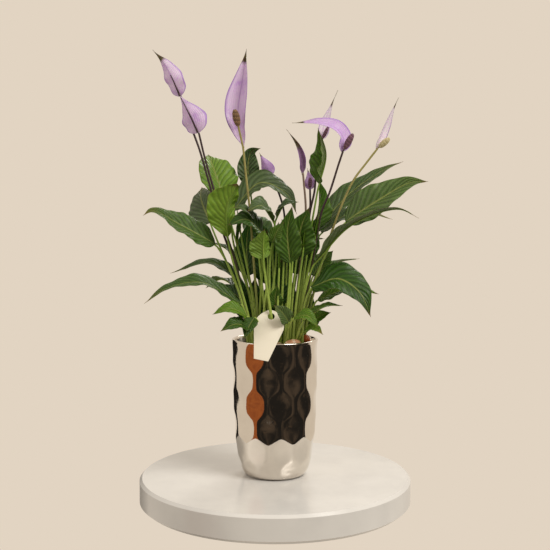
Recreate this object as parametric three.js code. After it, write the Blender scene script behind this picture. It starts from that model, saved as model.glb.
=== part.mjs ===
// Potted peace lily: a plant with lilac flowers in a mirror-glazed vase with a honeycomb relief.
// Millimetres, +Z up. The origin is the centre of the vase's foot, on the surface it stands on,
// and the front of the plant, where the paper tag hangs, faces -Y.
import * as THREE from "three";

// ---- driving dimensions ----
const CLEARANCE = 0.35;

// vase
const VASE_HEIGHT = 207;
const RIM_RADIUS = 65;
const WAIST_INSET = 1.5;
const WAIST_HEIGHT = 112;
const BELLY_INSET = 5;
const BELLY_HEIGHT = 52;
const HEEL_INSET = 11;
const HEEL_HEIGHT = 20;
const FOOT_EDGE_INSET = 17;
const FOOT_EDGE_HEIGHT = 4;
const FOOT_INSET = 27;
const VASE_WALL = 4;
const VASE_FLOOR = 6;
const CELLS_AROUND = 10;
const CELL_ROW_PITCH = 35.5;
const FIRST_CELL_HEIGHT = 44;
const FIRST_CELL_ANGLE = 8.5;
const CELL_DEPTH = 1.6;
const PLAIN_RIM_BAND = 7;

// grower's pot, its clay bed and the soil
const POT_HEIGHT = 118;
const POT_SIDE_PLAY = 2.9;
const POT_TAPER = 13;
const POT_WALL = 1.4;
const POT_RIM_DROP = 8;
const POT_LIP_WIDTH = 2;
const POT_LIP_HEIGHT = 5;
const SOIL_BELOW_POT_RIM = 4;
const PEBBLE_SIDE_PLAY = 2.2;

// plant
const PLANTED_RADIUS = 52;
const PETIOLE_RADIUS = 2;
const NECK_RADIUS = 1.3;
const BLADE_THICKNESS = 1.3;
const MIDRIB_HALF_WIDTH = 0.9;
const BLADE_BASE_POWER = 0.62;
const BLADE_TIP_POWER = 1.3;
const SPATHE_BASE_POWER = 0.7;
const SPATHE_TIP_POWER = 1.8;
const STEM_FOOT_RADIUS = 2;
const THROAT_RADIUS = 1.5;
const LEAF_FOLD = 16;
const SPATHE_FOLD = 26;
const SPADIX_RADIUS = 4.4;
const SPATHE_THICKNESS = 1.1;

// paper tag
const TAG_LENGTH = 80;
const TAG_WIDTH = 44;
const TAG_FOOT_WIDTH = 21;
const TAG_THICKNESS = 0.8;
const TAG_HOLE_RADIUS = 5.2;
const TAG_HOLE_FROM_TOP = 10;
const TAG_SHOULDER_DROP = 27;
const TAG_TURN = 12;
const TAG_HOLE_ABOVE_RIM = 37;

// ---- worked out from them ----
const POT_RIM_HEIGHT = VASE_HEIGHT - POT_RIM_DROP;
const POT_FOOT_HEIGHT = POT_RIM_HEIGHT - POT_HEIGHT;
const SOIL_HEIGHT = POT_RIM_HEIGHT - SOIL_BELOW_POT_RIM;

const rad = THREE.MathUtils.degToRad;
const lily = new THREE.Group();

// The plant is built from the height of the soil, on which its stalks stand.
const plant = new THREE.Group();
plant.position.z = SOIL_HEIGHT + CLEARANCE;
lily.add(plant);

const finishes = {
  mirror: { color: 0xd8d2c8, metalness: 1, roughness: 0.06 },
  potPlastic: { color: 0x2a2a2b, metalness: 0, roughness: 0.7 },
  clay: { color: 0x8a4b2c, metalness: 0, roughness: 0.9 },
  soil: { color: 0x2b1c12, metalness: 0, roughness: 0.95 },
  peachStone: { color: 0xe0ae82, metalness: 0, roughness: 0.5 },
  rustStone: { color: 0xb0541f, metalness: 0, roughness: 0.4 },
  greyStone: { color: 0x8f8c86, metalness: 0, roughness: 0.55 },
  card: { color: 0xe8e0c8, metalness: 0, roughness: 0.85 },
  leaf: { color: 0x35631e, metalness: 0, roughness: 0.38, side: THREE.DoubleSide },
  darkStem: { color: 0x3a2528, metalness: 0, roughness: 0.5 },
  greenStem: { color: 0x9b9a52, metalness: 0, roughness: 0.5 },
  spathe: { color: 0xb79ad0, metalness: 0, roughness: 0.5, side: THREE.DoubleSide },
};

function addPiece(name, geometry, finish, parent = lily) {
  const mesh = new THREE.Mesh(geometry, new THREE.MeshStandardMaterial(finishes[finish]));
  mesh.name = name;
  parent.add(mesh);
  return mesh;
}

function vector(point) {
  return new THREE.Vector3(point[0], point[1], point[2]);
}

// A body skinned over rings that all hold the same number of points. Consecutive rings are joined
// by quads and the two end rings are closed by fans. Where leansBack says so, a quad is split along
// its other diagonal.
function skin(rings, leansBack = () => false) {
  const sides = rings[0].length;
  const positions = rings.flat().flatMap((point) => [point.x, point.y, point.z]);
  const faces = [];
  for (let ring = 0; ring < rings.length - 1; ring += 1) {
    for (let side = 0; side < sides; side += 1) {
      const next = (side + 1) % sides;
      const low = ring * sides;
      const high = low + sides;
      if (leansBack(ring, side)) {
        faces.push(low + side, low + next, high + side);
        faces.push(low + next, high + next, high + side);
      } else {
        faces.push(low + side, low + next, high + next);
        faces.push(low + side, high + next, high + side);
      }
    }
  }
  const last = (rings.length - 1) * sides;
  for (let side = 1; side < sides - 1; side += 1) {
    faces.push(0, side + 1, side);
    faces.push(last, last + side, last + side + 1);
  }
  const geometry = new THREE.BufferGeometry();
  geometry.setAttribute("position", new THREE.Float32BufferAttribute(positions, 3));
  geometry.setIndex(faces);
  geometry.computeVertexNormals();
  return geometry;
}

// Frames carried along a run of points with no spin of their own. At the point numbered anchor the
// normal is as near to facing as the curve allows.
function carriedFrames(points, anchor, facing) {
  const tangents = points.map((point, index) => {
    const before = points[Math.max(index - 1, 0)];
    const after = points[Math.min(index + 1, points.length - 1)];
    return after.clone().sub(before).normalize();
  });
  const frames = [];
  const place = (index, side) => {
    const tangent = tangents[index];
    side.addScaledVector(tangent, -side.dot(tangent)).normalize();
    frames[index] = { tangent, side, normal: side.clone().cross(tangent) };
  };
  place(anchor, tangents[anchor].clone().cross(facing));
  for (let index = anchor + 1; index < points.length; index += 1) {
    place(index, frames[index - 1].side.clone());
  }
  for (let index = anchor - 1; index >= 0; index -= 1) {
    place(index, frames[index + 1].side.clone());
  }
  return frames;
}

function turned(frame, degrees) {
  const side = frame.side.clone().applyAxisAngle(frame.tangent, rad(degrees));
  return { tangent: frame.tangent, side, normal: side.clone().cross(frame.tangent) };
}

// Width of a blade as a share of its greatest, from its base at 0 to its tip at 1.
function widthShare(along, basePower, tipPower) {
  const shape = (t) => t ** basePower * (1 - t) ** tipPower;
  return shape(along) / shape(basePower / (basePower + tipPower));
}

// Six points round a round stalk of the given radius.
function stalkSection(radius) {
  const high = radius * Math.sin(rad(60));
  const near = radius / 2;
  return [[-radius, 0], [-near, high], [near, high], [radius, 0], [near, -high], [-near, -high]];
}

// Six points round a blade that is thick at its midrib, thin at its edges and folded upwards.
function bladeSection(halfWidth, thickness, fold) {
  const out = halfWidth * Math.cos(rad(fold));
  const up = halfWidth * Math.sin(rad(fold));
  const rib = Math.min(MIDRIB_HALF_WIDTH, out * 0.6);
  const half = thickness / 2;
  return [[-out, up], [-rib, half], [rib, half], [out, up], [rib, -half], [-rib, -half]];
}

// A blade's fold as a share of its greatest: a blade is flat at its two ends.
function foldShare(along) {
  return THREE.MathUtils.smoothstep(Math.min(along / 0.2, (1 - along) / 0.1), 0, 1);
}

// Splits the quads of a blade alike on its two faces, so that the faces stay apart where it folds.
function evenSplit(ring, side) {
  return side === 2 || side >= 4;
}

function placeSection(section, centre, frame) {
  return section.map(([across, up]) => centre.clone()
    .addScaledVector(frame.side, across)
    .addScaledVector(frame.normal, up));
}

// ---- vase ----
const vaseSide = new THREE.SplineCurve([
  new THREE.Vector2(RIM_RADIUS - FOOT_EDGE_INSET, FOOT_EDGE_HEIGHT),
  new THREE.Vector2(RIM_RADIUS - HEEL_INSET, HEEL_HEIGHT),
  new THREE.Vector2(RIM_RADIUS - BELLY_INSET, BELLY_HEIGHT),
  new THREE.Vector2(RIM_RADIUS - WAIST_INSET, WAIST_HEIGHT),
  new THREE.Vector2(RIM_RADIUS, VASE_HEIGHT),
]).getPoints(80);

// Radius of the vase over the ridges of its relief.
function ridgeRadius(height) {
  const above = vaseSide.findIndex((point) => point.y >= height);
  if (above <= 0) {
    return above === 0 ? RIM_RADIUS - FOOT_EDGE_INSET : RIM_RADIUS;
  }
  const low = vaseSide[above - 1];
  const high = vaseSide[above];
  return THREE.MathUtils.mapLinear(height, low.y, high.y, low.x, high.x);
}

// Depth of the relief: shallow round dimples in a honeycomb, which meet in ridges.
function reliefDepth(turn, height) {
  const cellTurn = 360 / CELLS_AROUND;
  const cornerReach = CELL_ROW_PITCH * 2 / 3;
  const row = Math.round((height - FIRST_CELL_HEIGHT) / CELL_ROW_PITCH);
  let nearest = Infinity;
  for (const near of [row - 1, row, row + 1]) {
    const first = FIRST_CELL_ANGLE + (Math.abs(near) % 2) * cellTurn / 2;
    const offTurn = THREE.MathUtils.euclideanModulo(turn - first + cellTurn / 2, cellTurn) - cellTurn / 2;
    const across = rad(offTurn) * (RIM_RADIUS - WAIST_INSET);
    const up = height - (FIRST_CELL_HEIGHT + near * CELL_ROW_PITCH);
    nearest = Math.min(nearest, Math.hypot(across, up));
  }
  const fade = THREE.MathUtils.smoothstep(VASE_HEIGHT - height, 0, PLAIN_RIM_BAND);
  return CELL_DEPTH * fade * Math.max(0, 1 - (nearest / cornerReach) ** 2);
}

// A ring of points round the vase at a height, at the radius that radiusAt gives for each turn.
function vaseRing(height, radiusAt) {
  const ring = [];
  for (let column = 0; column < 2 * CELLS_AROUND; column += 1) {
    const turn = FIRST_CELL_ANGLE + column * 180 / CELLS_AROUND;
    const radius = radiusAt(turn);
    ring.push(new THREE.Vector3(radius * Math.sin(rad(turn)), -radius * Math.cos(rad(turn)), height));
  }
  return ring;
}

function wallRing(height, inset) {
  return vaseRing(height, (turn) => ridgeRadius(height) - reliefDepth(turn, height) - inset);
}

function vaseGeometry() {
  const heights = [FOOT_EDGE_HEIGHT];
  const step = CELL_ROW_PITCH / 3;
  for (let height = FIRST_CELL_HEIGHT - 3 * step; height < VASE_HEIGHT - PLAIN_RIM_BAND; height += step) {
    heights.push(height);
  }
  heights.push(VASE_HEIGHT - PLAIN_RIM_BAND / 2, VASE_HEIGHT);
  // The quads that hold a slanting ridge of the honeycomb are split along it.
  const alongRidge = (ring, side) => {
    const rowsUp = Math.floor((ring - 2) / 3);
    return (ring - 2) % 3 === 1 && (side + rowsUp) % 2 !== 0;
  };
  const foot = vaseRing(0, () => RIM_RADIUS - FOOT_INSET);
  const outside = heights.map((height) => wallRing(height, 0));
  const inside = heights.filter((height) => height > VASE_FLOOR).reverse();
  const floor = vaseRing(VASE_FLOOR, () => RIM_RADIUS - FOOT_INSET);
  const lining = inside.map((height) => wallRing(height, VASE_WALL));
  return skin([foot, ...outside, ...lining, floor], alongRidge);
}

addPiece("vase", vaseGeometry(), "mirror");

// Largest radius that is clear of the vase's wall at a height.
function roomInside(height) {
  return ridgeRadius(height) - CELL_DEPTH - VASE_WALL - CLEARANCE;
}

// ---- grower's pot, clay bed and soil ----
function turnedPiece(name, profile, finish) {
  const geometry = new THREE.LatheGeometry(profile.map(([x, z]) => new THREE.Vector2(x, z)), 24);
  geometry.rotateX(Math.PI / 2);
  return addPiece(name, geometry, finish);
}

const potLipRadius = roomInside(POT_RIM_HEIGHT) - POT_SIDE_PLAY;
const potTopRadius = potLipRadius - POT_LIP_WIDTH;
const potFootRadius = potTopRadius - POT_TAPER;

const bedFoot = VASE_FLOOR + CLEARANCE;
const bedTop = POT_FOOT_HEIGHT - CLEARANCE;
turnedPiece("clay_pebble_bed", [
  [0, bedFoot],
  [RIM_RADIUS - FOOT_INSET - CLEARANCE, bedFoot],
  [roomInside(bedTop / 2), bedTop / 2],
  [roomInside(bedTop), bedTop],
  [0, bedTop],
], "clay");

const lipFoot = POT_RIM_HEIGHT - POT_LIP_HEIGHT;
turnedPiece("grower_pot", [
  [0, POT_FOOT_HEIGHT],
  [potFootRadius, POT_FOOT_HEIGHT],
  [potTopRadius, lipFoot],
  [potLipRadius, lipFoot],
  [potLipRadius, POT_RIM_HEIGHT],
  [potTopRadius - POT_WALL, POT_RIM_HEIGHT],
  [potFootRadius - POT_WALL, POT_FOOT_HEIGHT + POT_WALL],
  [0, POT_FOOT_HEIGHT + POT_WALL],
], "potPlastic");

// Inside radius of the grower's pot at a height.
function potInside(height) {
  const share = (height - POT_FOOT_HEIGHT - POT_WALL) / (POT_HEIGHT - POT_WALL);
  return THREE.MathUtils.lerp(potFootRadius, potTopRadius, share) - POT_WALL;
}

const soilFoot = POT_FOOT_HEIGHT + POT_WALL + CLEARANCE;
turnedPiece("potting_soil", [
  [0, soilFoot],
  [potInside(soilFoot) - CLEARANCE, soilFoot],
  [potInside(SOIL_HEIGHT) - CLEARANCE, SOIL_HEIGHT],
  [0, SOIL_HEIGHT],
], "soil");

// ---- pebbles that lie on the pot's rim, round which they are placed by their turn from -Y ----
function pebble(name, turn, [long, broad, high], finish) {
  const geometry = new THREE.SphereGeometry(1, 12, 8);
  geometry.rotateX(Math.PI / 2);
  geometry.scale(long, broad, high);
  geometry.rotateZ(rad(turn));
  const reach = roomInside(POT_RIM_HEIGHT) - PEBBLE_SIDE_PLAY - broad;
  const middle = POT_RIM_HEIGHT + CLEARANCE + high;
  const stone = addPiece(name, geometry, finish);
  stone.position.set(reach * Math.sin(rad(turn)), -reach * Math.cos(rad(turn)), middle);
}

pebble("pebble_peach", 31, [13, 6, 6], "peachStone");
pebble("pebble_rust", 66, [7, 6, 8], "rustStone");
pebble("pebble_grey", -76, [8, 6.5, 5.5], "greyStone");

// ---- leaves ----
// A leaf is one body: a stalk that rises from the soil at root, and a blade that starts at the
// first point of its path and ends at the last. The blade's upper side looks towards facing.
const STALK_STEPS = 7;
const BLADE_STEPS = 10;

// A spot on the soil, given for a planted circle of PLANTED_RADIUS.
function rootPoint([across, away]) {
  const spread = potInside(SOIL_HEIGHT) / PLANTED_RADIUS;
  return new THREE.Vector3(across * spread, away * spread, 0);
}

function bladeCurveOf(path) {
  return new THREE.CatmullRomCurve3(path.map(vector), false, "centripetal");
}

// A stalk leaves the soil steeply, and it bends over into the blade that it carries.
function stalkCurveOf(root, path) {
  const start = rootPoint(root);
  const neck = vector(path[0]);
  const rise = neck.distanceTo(start);
  const lean = neck.clone().sub(start).normalize();
  const leaving = lean.clone().lerp(new THREE.Vector3(0, 0, 1), 0.6).normalize();
  const arriving = bladeCurveOf(path).getTangentAt(0).lerp(lean, 0.55).normalize();
  return new THREE.CubicBezierCurve3(
    start,
    start.clone().addScaledVector(leaving, rise * 0.4),
    neck.clone().addScaledVector(arriving, -rise * 0.3),
    neck,
  );
}

function leaf(name, { root, path, width, facing, fold = LEAF_FOLD, twist = 0, stalk = PETIOLE_RADIUS }) {
  const bladeCurve = bladeCurveOf(path);
  const stalkCurve = stalkCurveOf(root, path);
  const points = [];
  const sections = [];
  for (let step = 0; step < STALK_STEPS; step += 1) {
    const along = step / STALK_STEPS;
    points.push(stalkCurve.getPoint(along));
    sections.push(stalkSection(THREE.MathUtils.lerp(stalk, NECK_RADIUS, along)));
  }
  for (let step = 0; step <= BLADE_STEPS; step += 1) {
    const along = step / BLADE_STEPS;
    points.push(bladeCurve.getPointAt(along));
    const share = widthShare(along, BLADE_BASE_POWER, BLADE_TIP_POWER);
    const halfWidth = Math.max(width / 2 * share, step === 0 ? NECK_RADIUS : 0.3);
    const thickness = THREE.MathUtils.lerp(2 * NECK_RADIUS, 0.4, Math.min(1, along * 1.6));
    const thickest = Math.max(thickness, BLADE_THICKNESS * (1 - along));
    sections.push(bladeSection(halfWidth, thickest, fold * foldShare(along)));
  }
  const frames = carriedFrames(points, STALK_STEPS + BLADE_STEPS / 2, vector(facing));
  const rings = sections.map((section, index) => {
    const along = Math.max(0, index - STALK_STEPS) / BLADE_STEPS;
    return placeSection(section, points[index], turned(frames[index], twist * (along - 0.5)));
  });
  // The foot of the stalk is cut level, so that it stands on the soil.
  rings[0].forEach((point) => point.setZ(0));
  addPiece(name, skin(rings, evenSplit), "leaf", plant);
}

// left, upper tier
leaf("leaf_01", { root: [-37, -14],
  path: [[-89, -18, 155], [-138, -36, 183], [-178, -52, 204], [-190, -58, 197]],
  width: 45, facing: [-0.15, -0.66, 0.74], twist: 14 });
leaf("leaf_02", { root: [-36, 20], path: [[-99, 24, 186], [-116, 66, 223], [-118, 108, 243]],
  width: 52, facing: [0.05, -0.6, 0.8] });
leaf("leaf_03", { root: [-32, -22], path: [[-70, -28, 165], [-71, -40, 207], [-55, -52, 243]],
  width: 64, facing: [-0.54, 0.84, 0.1], fold: 33 });
leaf("leaf_04", { root: [-28, 10], path: [[-80, 24, 229], [-96, 52, 271], [-106, 86, 294]],
  width: 66, facing: [0.3, -0.75, 0.6], fold: 20 });
leaf("leaf_05", { root: [-17, 30], path: [[-39, 48, 245], [-42, 47, 272], [-36, 43, 296], [-22, 35, 300]],
  width: 36, facing: [0.2, -0.75, 0.6] });
leaf("leaf_06", { root: [-20, -2], path: [[-63, 6, 205], [-22, 13, 246], [18, 9, 229], [33, 5, 199]],
  width: 54, facing: [0.1, -0.55, 0.83] });
leaf("leaf_07", { root: [-12, -20], path: [[-2, -28, 190], [-20, -44, 211], [-40, -56, 203]],
  width: 44, facing: [0.2, -0.5, 0.85] });
leaf("leaf_08", { root: [4, -12], path: [[2, -8, 195], [14, -18, 213], [35, -24, 217]],
  width: 30, facing: [0, -0.4, 0.9] });
leaf("leaf_09", { root: [-20, -30], path: [[-18, -34, 171], [-42, -44, 191], [-68, -50, 183]],
  width: 44, facing: [0.1, -0.6, 0.8] });
// front and centre
const tagLeaf = { root: [-1, -38], path: [[-17, -56, 135], [-17, -62, 157], [-15, -70, 178]] };
leaf("leaf_10", { ...tagLeaf, width: 42, facing: [-0.5, 0.8, 0.2], fold: 33, stalk: 2.6 });
leaf("leaf_11", { root: [14, -28], path: [[22, -34, 127], [18, -40, 175], [25, -46, 211]],
  width: 42, facing: [0.1, -0.85, 0.4] });
leaf("leaf_12", { root: [22, -20], path: [[32, -22, 135], [38, -30, 179], [50, -38, 209]],
  width: 52, facing: [0.2, -0.8, 0.5] });
// right, upper tier
leaf("leaf_13", { root: [34, 0], path: [[66, 4, 245], [76, 3, 289], [64, 0, 328]],
  width: 50, facing: [-0.85, -0.4, 0.1], fold: 45 });
leaf("leaf_14", { root: [33, 10], path: [[62, 22, 177], [68, 24, 217], [66, 20, 254]],
  width: 42, facing: [0.7, -0.6, 0.1], fold: 40 });
leaf("leaf_15", { root: [37, 24], path: [[60, 40, 171], [124, 60, 237], [178, 70, 272], [202, 73, 282]],
  width: 46, facing: [-0.35, -0.55, 0.78] });
leaf("leaf_16", { root: [36, -9], path: [[105, -14, 188], [152, -22, 219], [198, -26, 245], [225, -28, 247]],
  width: 56, facing: [-0.3, -0.8, 0.5] });
leaf("leaf_17", { root: [34, -18], path: [[58, -32, 127], [110, -54, 183], [176, -68, 206], [205, -74, 193]],
  width: 42, facing: [-0.2, 0.1, 0.97] });
leaf("leaf_18", { root: [34, 28], path: [[72, 48, 171], [128, 74, 204], [188, 90, 191]],
  width: 40, facing: [-0.1, -0.35, 0.93], twist: 18 });
// right, lower tier
leaf("leaf_19", { root: [40, -28], path: [[54, -38, 92], [92, -54, 105], [122, -68, 86], [137, -76, 52]],
  width: 60, facing: [0.3, -0.78, 0.55], fold: 12 });
leaf("leaf_20", { root: [43, 0], path: [[64, -8, 71], [112, -20, 88], [154, -28, 81]],
  width: 44, facing: [0.1, -0.45, 0.88] });
leaf("leaf_21", { root: [43, 11], path: [[58, 20, 105], [74, 30, 127], [90, 38, 143]],
  width: 40, facing: [-0.2, -0.8, 0.5] });
leaf("leaf_22", { root: [28, 36], path: [[60, 54, 95], [98, 68, 123], [134, 74, 129]],
  width: 28, facing: [0, 0, 1] });
leaf("leaf_23", { root: [29, -30], path: [[46, -46, 49], [74, -56, 66], [98, -60, 67]],
  width: 24, facing: [0.1, -0.3, 0.95] });
leaf("leaf_24", { root: [41, -8], path: [[52, -20, 35], [66, -32, 48], [82, -40, 55]],
  width: 26, facing: [0.1, -0.8, 0.6] });
leaf("leaf_25", { root: [15, -36], path: [[28, -56, 49], [46, -67, 53], [62, -73, 37]],
  width: 26, facing: [0.1, -0.6, 0.8] });
// left, lower tier
leaf("leaf_26", { root: [-38, 26], path: [[-44, 38, 85], [-98, 54, 123], [-166, 70, 106]],
  width: 32, facing: [0.1, -0.35, 0.93], twist: -24 });
leaf("leaf_27", { root: [-40, -22], path: [[-50, -30, 67], [-108, -44, 99], [-158, -54, 91], [-189, -62, 70]],
  width: 38, facing: [0.1, -0.4, 0.9] });
leaf("leaf_28", { root: [-27, -34], path: [[-41, -50, 51], [-65, -62, 63], [-90, -68, 55]],
  width: 28, facing: [0.1, -0.6, 0.8] });
leaf("leaf_29", { root: [-22, -38], path: [[-38, -54, 34], [-57, -71, 41], [-78, -79, 32]],
  width: 30, facing: [0.1, -0.6, 0.8] });
leaf("leaf_30", { root: [-24, 40], path: [[-50, 58, 117], [-78, 78, 145], [-110, 92, 157]],
  width: 30, facing: [0, 0.1, 1] });
// back
leaf("leaf_31", { root: [0, 28], path: [[-6, 40, 89], [-4, 54, 135], [6, 66, 187]],
  width: 66, facing: [0, -1, 0.4] });
leaf("leaf_32", { root: [-8, 42], path: [[-20, 62, 145], [-34, 106, 189], [-46, 152, 189]],
  width: 50, facing: [0, -0.3, 0.95] });
leaf("leaf_33", { root: [12, 43], path: [[22, 66, 105], [34, 116, 131], [40, 158, 105]],
  width: 48, facing: [0, 0.2, 0.98], twist: 22 });

// ---- flowers ----
// A flower stem is one body with its spadix: the stem rises from the soil along its path to the
// throat, and the spadix grows from there to its own tip. The spathe is a hood behind the spadix.
// It is seated on the back of the throat and runs along its path to its tail.
const STEM_STEPS = 12;
const SPADIX_SHARES = [0.16, 0.3, 0.5, 0.7, 0.88, 1];

function stemGeometry(stemPoints, spadixTip, spadixRadius) {
  const throat = stemPoints[stemPoints.length - 1];
  const points = new THREE.CatmullRomCurve3(stemPoints, false, "centripetal").getSpacedPoints(STEM_STEPS);
  const stemRadius = (along) => THREE.MathUtils.lerp(STEM_FOOT_RADIUS, THROAT_RADIUS, along);
  const radii = points.map((_, index) => stemRadius(index / STEM_STEPS));
  for (const share of SPADIX_SHARES) {
    points.push(throat.clone().lerp(spadixTip, share));
    const body = Math.sqrt(Math.max(0, 1 - ((share - 0.58) / 0.43) ** 2));
    radii.push(Math.max(0.8, spadixRadius * body));
  }
  const frames = carriedFrames(points, 0, new THREE.Vector3(0, -1, 0));
  const rings = points.map((point, index) => placeSection(stalkSection(radii[index]), point, frames[index]));
  rings[0].forEach((point) => point.setZ(0));
  return skin(rings);
}

function hoodGeometry(hoodPoints, { width, facing, fold = SPATHE_FOLD }) {
  const points = new THREE.CatmullRomCurve3(hoodPoints, false, "centripetal").getSpacedPoints(BLADE_STEPS);
  const frames = carriedFrames(points, BLADE_STEPS / 2, vector(facing));
  const rings = points.map((point, index) => {
    const along = index / BLADE_STEPS;
    const share = widthShare(along, SPATHE_BASE_POWER, SPATHE_TIP_POWER);
    const halfWidth = Math.max(width / 2 * share, index === 0 ? NECK_RADIUS : 0.3);
    const thickness = SPATHE_THICKNESS * (1 - 0.6 * along);
    const section = bladeSection(halfWidth, thickness, fold * foldShare(along));
    return placeSection(section, point, frames[index]);
  });
  return skin(rings, evenSplit);
}

// Where a hood meets the throat of its stem: behind it, or on its end for a closed bud.
function hoodSeat(throat, spadixTip, { facing, behind }, closed) {
  if (closed) {
    return spadixTip.clone().addScaledVector(spadixTip.clone().sub(throat).normalize(), 2 * CLEARANCE);
  }
  const back = behind ? vector(behind) : vector(facing).setZ(0).normalize().negate();
  return throat.clone().addScaledVector(back, THROAT_RADIUS + CLEARANCE + SPATHE_THICKNESS / 2);
}

function flower(number, options) {
  const { root, path, spadix, spadixRadius = SPADIX_RADIUS, finish = "darkStem", closed, hood } = options;
  const stemPoints = [rootPoint(root), ...path.map(vector)];
  const spadixTip = vector(spadix);
  addPiece(`flower_${number}_stem`, stemGeometry(stemPoints, spadixTip, spadixRadius), finish, plant);
  const seat = hoodSeat(stemPoints[stemPoints.length - 1], spadixTip, hood, closed);
  const hoodPoints = [seat, ...hood.path.map(vector)];
  addPiece(`flower_${number}_${closed ? "bud" : "spathe"}`, hoodGeometry(hoodPoints, hood), "spathe", plant);
}

flower(1, { root: [-41, 5],
  path: [[-58, 8, 115], [-77, 6, 167], [-96, 4, 235], [-113, 4, 295], [-125, 6, 328], [-141, 8, 375]],
  spadix: [-152, 22, 395],
  hood: { path: [[-152, -1, 399], [-165, 0, 423], [-182, 2, 443]], width: 34, facing: [0.3, 0.9, 0.3] } });
flower(2, { root: [-41, -3], path: [[-56, -6, 115], [-72, -6, 167], [-91, -8, 235], [-105, -8, 285],
  [-113, -8, 319]], spadix: [-124, 6, 339],
  hood: { path: [[-126, -16, 346], [-142, -14, 377]], width: 44, facing: [0.3, 0.9, 0.2] } });
flower(3, { root: [-22, -12], path: [[-30, -16, 105], [-37, -18, 202], [-43, -18, 258], [-47, -18, 297]],
  spadix: [-59, -28, 351], spadixRadius: 5, finish: "greenStem",
  hood: { path: [[-55, -7, 345], [-47, -8, 405], [-42, -12, 442]], width: 42, facing: [-0.3, -0.95, 0],
    fold: 38 } });
flower(4, { root: [10, 8], path: [[12, 16, 105], [14, 30, 201], [2, 37, 241], [-7, 37, 257]],
  spadix: [-13, 41, 273], spadixRadius: 3,
  hood: { path: [[-14, 31, 273], [-24, 32, 293]], width: 26, facing: [0.2, 0.9, 0.2] } });
flower(5, { root: [24, 2], path: [[36, -2, 105], [46, -6, 202], [43, -8, 245], [42, -8, 257]],
  spadix: [41, -8, 260], spadixRadius: 2, finish: "greenStem", closed: true,
  hood: { path: [[41, -8, 281], [34, -8, 301], [17, -8, 325]], width: 15, facing: [0, -1, 0], fold: 40 } });
flower(6, { root: [20, 31], path: [[40, 37, 105], [54, 39, 205], [54, 39, 237]],
  spadix: [54, 34, 255], spadixRadius: 3,
  hood: { path: [[53, 43, 254], [50, 43, 270]], width: 18, facing: [0, -0.9, 0.1] } });
flower(7, { root: [30, -10], path: [[52, -15, 105], [69, -18, 202], [81, -20, 232], [94, -20, 273],
  [100, -20, 291]], spadix: [114, -27, 316],
  hood: { path: [[102, -12, 319], [84, -14, 337], [55, -17, 338], [25, -20, 333]], width: 36,
    facing: [0.1, -0.45, 0.85], behind: [-0.8, 0.6, 0] } });
flower(8, { root: [22, 10], path: [[42, 12, 105], [53, 13, 202], [60, 15, 235], [63, 18, 276], [71, 18, 311]],
  spadix: [80, 12, 330],
  hood: { path: [[74, 22, 335], [84, 22, 361], [95, 20, 386]], width: 30, facing: [0.4, -0.9, 0] } });
flower(9, { root: [38, 4],
  path: [[74, 12, 135], [102, 14, 215], [120, 16, 252], [138, 18, 276], [155, 18, 298]],
  spadix: [172, 12, 313], finish: "greenStem",
  hood: { path: [[164, 24, 325], [175, 23, 350], [187, 21, 375]], width: 28, facing: [0.7, -0.6, -0.2] } });

// ---- paper tag: its hole hangs on the stalk of tagLeaf, and its back leans on the vase's rim ----
function tagGeometry(lean) {
  const shoulder = TAG_WIDTH / 2;
  const foot = TAG_FOOT_WIDTH / 2;
  const outline = new THREE.Shape();
  outline.moveTo(-foot, -TAG_LENGTH);
  outline.lineTo(foot, -TAG_LENGTH);
  outline.lineTo(shoulder, -TAG_SHOULDER_DROP);
  outline.bezierCurveTo(shoulder, -TAG_SHOULDER_DROP / 2, foot, 0, 0, 0);
  outline.bezierCurveTo(-foot, 0, -shoulder, -TAG_SHOULDER_DROP / 2, -shoulder, -TAG_SHOULDER_DROP);
  const hole = new THREE.Path();
  hole.absarc(0, -TAG_HOLE_FROM_TOP, TAG_HOLE_RADIUS, 0, 2 * Math.PI, true);
  outline.holes.push(hole);
  const options = { depth: TAG_THICKNESS, bevelEnabled: false, curveSegments: 10 };
  const geometry = new THREE.ExtrudeGeometry(outline, options);
  // The hole's centre becomes the origin and the front face looks along -Y.
  geometry.translate(0, TAG_HOLE_FROM_TOP, 0);
  geometry.rotateZ(rad(-TAG_TURN));
  geometry.rotateX(Math.PI / 2 - lean);
  return geometry;
}

const stalkInHole = stalkCurveOf(tagLeaf.root, tagLeaf.path).getSpacedPoints(200)
  .map((point) => point.add(plant.position))
  .find((point) => point.z >= VASE_HEIGHT + TAG_HOLE_ABOVE_RIM);
// The rim is nearest to the tag between two of its corners.
const rimFront = -RIM_RADIUS * Math.cos(Math.PI / (2 * CELLS_AROUND)) - CLEARANCE;
const tagLean = Math.atan2(stalkInHole.y - rimFront, stalkInHole.z - VASE_HEIGHT);
addPiece("paper_tag", tagGeometry(tagLean), "card").position.copy(stalkInHole);

export default lily;
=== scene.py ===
# Potted peace lily with lilac flowers, in a mirror-glazed vase with a honeycomb relief.
# Metres, +Z up. The origin is the centre of the vase's foot and the front faces -Y.
import math
import random

import bmesh
import bpy
import numpy as np
from mathutils import Matrix, Quaternion, Vector, noise


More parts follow.
